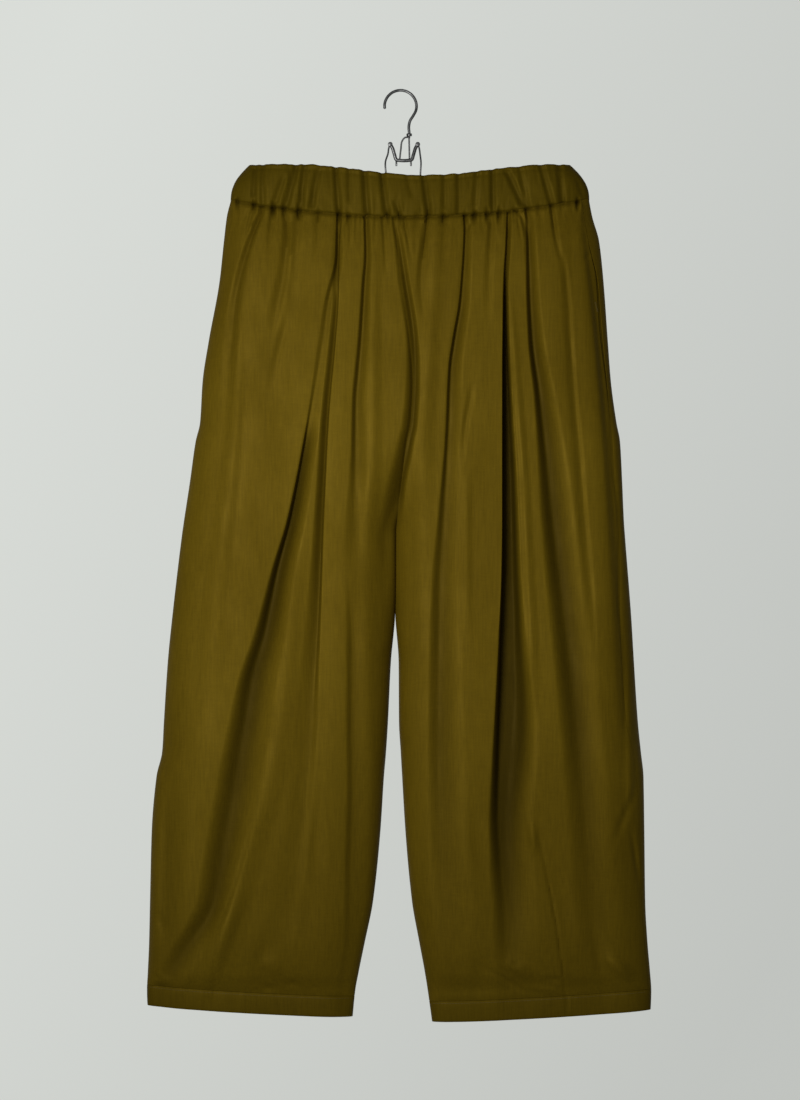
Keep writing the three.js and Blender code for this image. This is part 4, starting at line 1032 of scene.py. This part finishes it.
def band_points(layer, x, share):
    """Points of the waistband, and the painted shade of each: darker deep in its gathers, pinches and low
    roll.
    """
    form, edge, dark = BAND_FORM, BAND_EDGE, BAND_PAINTED_SHADE
    drop = mix(band_top(x, layer), seam_drop(x) - HALF_GAP, share)
    from_end = np.minimum(x - band_low(share), band_high(share) - x)
    swell = form["swell"] * bump((share - form["swell_at"]) / form["swell_reach"])
    gathered = band_gathers(layer, x, share) * smooth(from_end / FOLD_FADE)
    pinches = sum(pull(spot) * bump((x - spot) / form["pinch_wide"]) for spot in SEAM_PINCHES)
    pinches = pinches * smooth(1 - (1 - share) / form["pinch_up"])
    turn = 1 - np.clip(share / form["top"], 0, 1)
    top_roll = form["top_roll"] * (1 - np.sqrt(1 - turn**2))
    low_roll = form["low_roll"] * smooth((share - form["low"]) / form["low_reach"])
    stitch = form["stitch"] * bump((share - form["stitch_at"]) / form["stitch_reach"])
    drawn = gathered + form["pinch"] * pinches + top_roll + low_roll + stitch
    for k, (deep, across, down) in enumerate(BAND_WAVES):
        drawn = drawn + deep * noise(x, drop, SEED + 8 + k, across, down)
    waver = edge["waver"] * noise(x, drop * 0, SEED + 4, 8, 30)
    waver = waver + edge["gathered"] * band_gathers(layer, x, share * 0)
    drop = drop + waver * smooth(1 - share / edge["down"]) * smooth(from_end / edge["end"])
    round_end = rounded(from_end, section["round"](BAND_DEPTH_DROP))
    off = (section[layer](BAND_DEPTH_DROP) + swell) * round_end - drawn * smooth(from_end / form["end"])
    # Painted shade: the band's colour is darkened in its gathers, pinches and low roll
    shade = dark["gathers"] * gathered + dark["pinches"] * pinches + dark["roll"] * low_roll
    place = np.stack([x, off if layer == "back" else -off, -drop], axis=-1)
    return place, smooth(shade / dark["full"])


BAND_ROWS = np.array([
    0, 0.012, 0.03, 0.055, 0.09, 0.13, 0.18, 0.23, 0.28, 0.34, 0.4, 0.46, 0.52, 0.58, 0.64, 0.7, 0.75,
    0.8, 0.84, 0.88, 0.91, 0.94, 0.97, 1,
])
BAND_ENDS = np.array([0.0004, 0.0012, 0.0025])


def waistband(material):
    count = int((band_high(1.0) - band_low(1.0)) / BAND_SPACING)
    across = np.sort(np.concatenate([crowded(count, 0.18), BAND_ENDS, 1 - BAND_ENDS]))
    share, t = np.meshgrid(BAND_ROWS, across, indexing="ij")
    x = mix(band_low(share), band_high(share), t)
    rows, shade = zip(band_points("front", x, share), band_points("back", x, share))
    rows = np.concatenate([rows[0], rows[1][:, -2:0:-1]], axis=1)
    shade = np.concatenate([shade[0], shade[1][:, -2:0:-1]], axis=1)
    return ring("waistband_cloth", rows, BAND_WALL, material, shade)


# Hanger: bends are (x, drop) or (x, drop, y), and the yoke's are measured in from a shoulder
WIRE = {"steps": 12, "sides": 16, "sharp": 50, "ends": [(0.3, 0.55), (0.75, 0.25)]}
ROD_SIDES = 32
JOINT_GAP = 0.3
HOOK = {
    "radius": 1.65, "arch": 18.4, "middle_x": 0.6, "from": 187, "to": -12,
    "shank": [(15.2, 27.6), (11.6, 33.4), (10.2, 39.5)],
}
COLLAR = {"x": 10.6, "drop": 49.6, "radius": 3.2, "height": 3.4}
BAIL = {
    "radius": 1, "head": {"x": 10.2, "radius": 1.6, "height": 1.8},
    "left": [(9.6, 52.2), (5.6, 52.8), (2.6, 56.5), (1, 66), (-0.2, 76.6)],
    "right": [(10.4, 52.2), (10.6, 62), (10.9, 76.6)],
}
YOKE = {
    "radius": 2, "shoulders": (-11.2, 20.4), "rivet_drop": 60.5, "bar_drop": 79,
    "bends": [(0, 60.5), (2.4, 64.5), (4.8, 72), (7.4, 78.4), (11.2, 79)],
    "rivet": {"radius": 2.7, "length": 5.2}, "feet": {"radius": 1.1, "length": 6.5, "x": (-4.2, 12.6)},
}
ARM = {
    "radius": 1, "legs": {"left": -16.4, "right": 24}, "behind": 3.6,
    "rod_drop": 112, "rod": {"left": -183.1, "right": 206.4}, "end_radius": 3, "end_height": 16,
    "clasp": [(0.2, -1.4, 0), (1.8, 4.5, 0), (2.6, 10.5, 2)], "rod_from": 14, "rod_radius": 1.3,
    "turn": [(0.4, 10), (3.4, 2.4), (10, 0), (16, 0)],
}


def closed_tube(rings):
    """Points and faces of a tube through rings of points, with a flat face at each end."""
    vertices, count = np.concatenate(rings), len(rings[0])
    ids = np.arange(len(vertices)).reshape(len(rings), count)
    ids = np.hstack([ids, ids[:, :1]])
    corners = [ids[:-1, :-1], ids[:-1, 1:], ids[1:, 1:], ids[1:, :-1]]
    faces = np.stack(corners, axis=-1).reshape(-1, 4).tolist()
    return vertices, faces + [ids[0, -2::-1].tolist(), ids[-1, :-1].tolist()]


def swept(bends, radius):
    """A round wire through its bends, with rounded-off ends. It may overshoot a little at a bend."""
    given = np.array([(b[0], b[2] if len(b) > 2 else 0, -b[1]) for b in bends], float)
    length = np.concatenate([[0], np.cumsum(np.linalg.norm(np.diff(given, axis=0), axis=1))])
    along = np.linspace(0, length[-1], WIRE["steps"] * (len(bends) - 1) + 1)
    line = np.stack([curve_of(length, one, np.gradient(one, length))(along) for one in given.T], axis=1)
    tangent = unit(np.gradient(line, axis=0))
    side = unit(np.cross(tangent, (0, 1, 0.001)))
    up = np.cross(side, tangent)
    at = lambda i, r, push: circle(line[i] + push * tangent[i], r, side[i], up[i], WIRE["sides"])
    rings = [at(0, radius * a, -radius * b) for a, b in WIRE["ends"]]
    rings += [at(i, radius, 0) for i in range(len(line))]
    rings += [at(-1, radius * a, radius * b) for a, b in reversed(WIRE["ends"])]
    return closed_tube(rings)


def turned_rod(start, end, radius, bevel=0.4):
    """A round bar between two (x, y, drop) points, with its rims rounded off."""
    a, b = (np.array((p[0], p[1], -p[2]), float) for p in (start, end))
    way = unit(b - a)
    side = unit(np.cross(way, (0.2, 0.4, 0.9)))
    up = np.cross(way, side)
    length = np.linalg.norm(b - a)
    profile = [(0, radius - bevel), (bevel * 0.3, radius - bevel * 0.3), (bevel, radius)]
    profile += [(length - s, r) for s, r in reversed(profile)]
    return closed_tube([circle(a + s * way, r, side, up, ROD_SIDES) for s, r in profile])


def wire_piece(name, parts, material, node):
    """One object from several closed bodies, in place of a node of the hanger."""
    vertices, faces, base = [], [], 0
    for part_vertices, part_faces in parts:
        vertices.append(part_vertices)
        faces += [[base + i for i in face] for face in part_faces]
        base += len(part_vertices)
    made = new_object(name, np.concatenate(vertices), faces, material, WIRE["sharp"])
    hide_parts(node)


def upright(x, low, high, radius, bevel=0.4):
    return turned_rod((x, 0, low), (x, 0, high), radius, bevel)


def hanger(metal):
    across, radius = HOOK["middle_x"], HOOK["arch"]
    turns = np.radians(np.linspace(HOOK["from"], HOOK["to"], 13))
    arch = [
        (across + radius * math.cos(a), radius - HOOK["radius"] - radius * math.sin(a)) for a in turns
    ]
    top, low = COLLAR["drop"] - COLLAR["height"] / 2, COLLAR["drop"] + COLLAR["height"] / 2
    hook = swept(arch + HOOK["shank"] + [(COLLAR["x"], top - JOINT_GAP)], HOOK["radius"])
    wire_piece("hook_wire", [hook], metal, "hanger_hook")
    wire_piece("collar_bead", [upright(COLLAR["x"], top, low, COLLAR["radius"], 0.8)], metal, "hanger_collar")

    head, under = BAIL["head"], low + JOINT_GAP
    knot = upright(head["x"], under, under + head["height"], head["radius"])
    legs = [swept(BAIL[side], BAIL["radius"]) for side in ("left", "right")]
    wire_piece("bail_wire", [knot, *legs], metal, "hanger_bail")

    left, right = YOKE["shoulders"]
    bends = [(left + x, drop) for x, drop in YOKE["bends"]]
    bends += [(right - x, drop) for x, drop in reversed(YOKE["bends"])]
    rivet, feet, rivets, bar = YOKE["rivet"], YOKE["feet"], YOKE["rivet_drop"], YOKE["bar_drop"]
    half = rivet["length"] / 2
    pins = [
        turned_rod((x, -half, rivets), (x, half, rivets), rivet["radius"], 0.6) for x in (left, right)
    ]
    stubs = [upright(x, bar, bar + feet["length"], feet["radius"]) for x in feet["x"]]
    wire_piece("yoke_wire", [swept(bends, YOKE["radius"]), *pins, *stubs], metal, "hanger_yoke")

    drop, behind, half = ARM["rod_drop"], ARM["behind"], ARM["end_height"] / 2
    for side, shoulder, out in (("left", left, -1), ("right", right, 1)):
        leg, end = ARM["legs"][side], ARM["rod"][side]
        bends = [(shoulder + out * x, rivets + down, behind - y) for x, down, y in ARM["clasp"]]
        bends += [(leg, bar)] + [(leg + out * x, drop - up) for x, up in ARM["turn"]]
        reach = end - out * (ARM["end_radius"] + JOINT_GAP)
        rod = turned_rod((leg + out * ARM["rod_from"], 0, drop), (reach, 0, drop), ARM["rod_radius"])
        wire_piece(f"arm_wire_{side}", [swept(bends, ARM["radius"]), rod], metal, f"hanger_arm_{side}")
        foot = upright(end, drop - half, drop + half, ARM["end_radius"], 0.8)
        wire_piece(f"end_bar_{side}", [foot], metal, f"hanger_end_{side}")


class Nodes:
    """A material's node tree, with short calls to add and join nodes."""

    def __init__(self, name):
        self.material = bpy.data.materials.new(name)
        self.material.use_nodes = True
        self.tree = self.material.node_tree
        self.shader = self.tree.nodes["Principled BSDF"]
        self.place = self.add("ShaderNodeTexCoord").outputs["Object"]

    def add(self, kind, **settings):
        node = self.tree.nodes.new(kind)
        for key, value in settings.items():
            setattr(node, key, value)
        return node

    def join(self, value, socket):
        """Join an output to a socket, or give the socket a plain value."""
        if isinstance(value, bpy.types.NodeSocket):
            self.tree.links.new(value, socket)
        else:
            socket.default_value = value

    def surface(self, values):
        for name, value in values.items():
            self.join(value, self.shader.inputs[name])

    def noise(self, scale, detail=2.0, roughness=0.5):
        """Noise whose scale is waves per metre along x, y and z."""
        mapping = self.add("ShaderNodeMapping")
        texture = self.add("ShaderNodeTexNoise")
        self.join(self.place, mapping.inputs["Vector"])
        self.join(scale, mapping.inputs["Scale"])
        self.join(mapping.outputs["Vector"], texture.inputs["Vector"])
        for key, value in (("Scale", 1), ("Detail", detail), ("Roughness", roughness)):
            self.join(value, texture.inputs[key])
        return texture.outputs["Fac"]

    def spread(self, value, low, high, from_low=0.35, from_high=0.65):
        node = self.add("ShaderNodeMapRange")
        sizes = {"Value": value, "From Min": from_low, "From Max": from_high, "To Min": low, "To Max": high}
        for key, size in sizes.items():
            self.join(size, node.inputs[key])
        return node.outputs["Result"]

    def blend(self, share, first, second):
        node = self.add("ShaderNodeMix", data_type="RGBA")
        for key, value in (("Factor", share), ("A", first), ("B", second)):
            self.join(value, node.inputs[key])
        return node.outputs[2]

    def product(self, first, second):
        node = self.add("ShaderNodeMath", operation="MULTIPLY")
        self.join(first, node.inputs[0])
        self.join(second, node.inputs[1])
        return node.outputs[0]

    def scaled(self, colour, share):
        node = self.add("ShaderNodeVectorMath", operation="SCALE")
        self.join(colour, node.inputs[0])
        self.join(share, node.inputs["Scale"])
        return node.outputs["Vector"]

    def bumps(self, layers):
        """Chained bumps, each (height, strength, distance in metres)."""
        normal = None
        for height, strength, distance in layers:
            node = self.add("ShaderNodeBump")
            for key, value in (("Height", height), ("Strength", strength), ("Distance", distance)):
                self.join(value, node.inputs[key])
            if normal is not None:
                self.join(normal, node.inputs["Normal"])
            normal = node.outputs["Normal"]
        self.join(normal, self.shader.inputs["Normal"])


def satin(name, light, dark):
    """Satin: a smooth face of long floats, darker and lighter in soft patches and fine streaks, with painted
    shade that darkens it deep in folds.
    """
    m = Nodes(name)
    patches = m.spread(m.noise((7, 7, 4), 3), 0, 1)
    streaks = m.spread(m.noise((620, 620, 38), 3, 0.6), 0.9, 1.1, 0.3, 0.7)
    wefts = m.spread(m.noise((90, 90, 900), 2, 0.6), 0.95, 1.05, 0.3, 0.7)
    # Painted shade: the colour is darkened by how deep in a fold each point lies
    painted_shade = m.add("ShaderNodeAttribute", attribute_name="painted_shade").outputs["Fac"]
    shade = m.product(m.product(streaks, wefts), m.spread(painted_shade, 1, PAINTED_FOLD_COLOUR_LEFT, 0, 1))
    m.surface({
        "Base Color": m.scaled(m.blend(patches, (*dark, 1), (*light, 1)), shade),
        "Roughness": m.spread(m.noise((40, 40, 18), 3), *SHEEN["roughness"]),
        "Metallic": SHEEN["metallic"],
        "Specular IOR Level": SHEEN["specular"],
    })
    m.bumps([
        (m.noise((26, 26, 12), 3), 0.26, 0.0012),
        (m.noise((55, 55, 95), 3), 0.12, 0.0008),
        (m.noise((700, 700, 60), 2), 0.25, 0.00012),
        (m.noise((120, 120, 1100), 2), 0.18, 0.00008),
    ])
    return m.material


def thread(name):
    m = Nodes(name)
    shade = m.spread(m.noise((900, 900, 900), 2), 0.75, 1.2)
    m.surface({
        "Base Color": m.scaled(THREAD_COLOUR, shade),
        "Roughness": m.spread(m.noise((300, 300, 300)), 0.5, 0.65),
    })
    m.bumps([(m.noise((2500, 2500, 2500), 2), 0.4, 0.00008)])
    return m.material


def nickel(name):
    """Dull nickel-plated wire, drawn lengthwise, a little tarnished."""
    m = Nodes(name)
    light, dark = METAL_COLOURS
    m.surface({
        "Base Color": m.blend(m.spread(m.noise((160, 160, 90), 4, 0.6), 0, 1), dark, light),
        "Roughness": m.spread(m.noise((420, 420, 60), 3), 0.3, 0.48),
        "Metallic": 0.85,
    })
    m.bumps([(m.noise((1500, 1500, 260), 3), 0.25, 0.00006)])
    return m.material


def pale(name, colour):
    m = Nodes(name)
    dim = tuple(c * 0.97 for c in colour)
    patches = m.spread(m.noise((3, 3, 3), 3), 0, 1)
    m.surface({"Base Color": m.blend(patches, (*colour, 1), (*dim, 1)), "Roughness": 0.9})
    return m.material


def camera():
    data = bpy.data.cameras.new("photo_camera")
    made = linked("photo_camera", data)
    data.sensor_fit = "VERTICAL"
    data.angle = 2 * math.atan(VIEW_HEIGHT / 2 / CAMERA_AWAY)
    data.clip_start, data.clip_end = 0.05, 60
    made.location = (VIEW_CENTRE[0] * MM, -CAMERA_AWAY * MM, -VIEW_CENTRE[1] * MM)
    made.rotation_euler = (math.radians(90), 0, 0)
    bpy.context.scene.camera = made


def key_light():
    key = KEY_LIGHT
    data = bpy.data.lights.new("key", "AREA")
    data.shape, data.size, data.energy, data.color = "DISK", key["size"], key["power"], key["colour"]
    data.spread = math.radians(key["spread"])
    made = linked("key", data)
    made.location = key["place"]
    away = Vector(key["target"]) - Vector(key["place"])
    made.rotation_euler = away.to_track_quat("-Z", "Y").to_euler()
    made.visible_camera = False


def world():
    """A pale studio: dimmer in front of the object than behind it, and towards the lower right."""
    made = bpy.data.worlds.new("studio")
    bpy.context.scene.world = made
    made.use_nodes = True
    nodes, links = made.node_tree.nodes, made.node_tree.links
    place = nodes.new("ShaderNodeTexCoord")
    strength = nodes.new("ShaderNodeMath")
    strength.operation = "MULTIPLY"
    for k, (way, *sizes) in enumerate(STUDIO["ramps"]):
        along = nodes.new("ShaderNodeVectorMath")
        along.operation = "DOT_PRODUCT"
        along.inputs[1].default_value = way
        links.new(place.outputs["Generated"], along.inputs[0])
        ramp = nodes.new("ShaderNodeMapRange")
        for name, value in zip(("From Min", "From Max", "To Min", "To Max"), sizes):
            ramp.inputs[name].default_value = value
        links.new(along.outputs["Value"], ramp.inputs["Value"])
        links.new(ramp.outputs["Result"], strength.inputs[k])
    back = nodes["Background"]
    back.inputs["Color"].default_value = STUDIO["colour"]
    links.new(strength.outputs["Value"], back.inputs["Strength"])


def floor(material):
    mesh = bpy.data.meshes.new("floor")
    r, z, sides = FLOOR["radius"], FLOOR["height"], FLOOR["sides"]
    turns = np.linspace(0, 2 * np.pi, sides, endpoint=False)
    mesh.from_pydata([(r * math.cos(a), r * math.sin(a), z) for a in turns], [], [list(range(sides))])
    mesh.materials.append(material)
    linked("floor", mesh)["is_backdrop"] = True


camera()
bpy.context.scene.view_settings.view_transform = "Standard"
world()
key_light()
floor(pale("floor_paint", FLOOR["colour"]))

cloth = satin("olive_satin", *SATINS["olive"])
# The waistband and the hems get darker copies of the olive satin: painted shade
band_satin_painted_darker = satin("waistband_satin_painted_shade", *SATINS["waistband"])
hem_satin_painted_darker = satin("hem_satin_painted_shade", *SATINS["hem"])
cotton = thread("olive_thread")
metal = nickel("dull_nickel")

hem_pieces = {side: hem(side, hem_satin_painted_darker) for side in ("left", "right")}
stitches = {side: [hem_stitches(side, cotton)] for side in ("left", "right")}
stitches["right"].append(bartack(cotton))
dressed = {
    "front_left": left_panel("front", cloth),
    "front_right": right_front(cloth),
    "back_left": left_panel("back", cloth),
    "back_right": right_back(cloth),
    "waistband": waistband(band_satin_painted_darker),
    "hem_left": hem_pieces["left"],
    "hem_right": hem_pieces["right"],
    "pocket_facing_left": left_facing(cloth),
    "pocket_facing_right": right_facing(cloth),
}
for node, piece in dressed.items():
    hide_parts(node)
for side in ("left", "right"):
    for one in stitches[side]:
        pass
    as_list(stitches[side])
hanger(metal)

box = lambda pair: [list(corner) for corner in pair]
{"cad": box(CAD_BOX), "visual": box(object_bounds())}
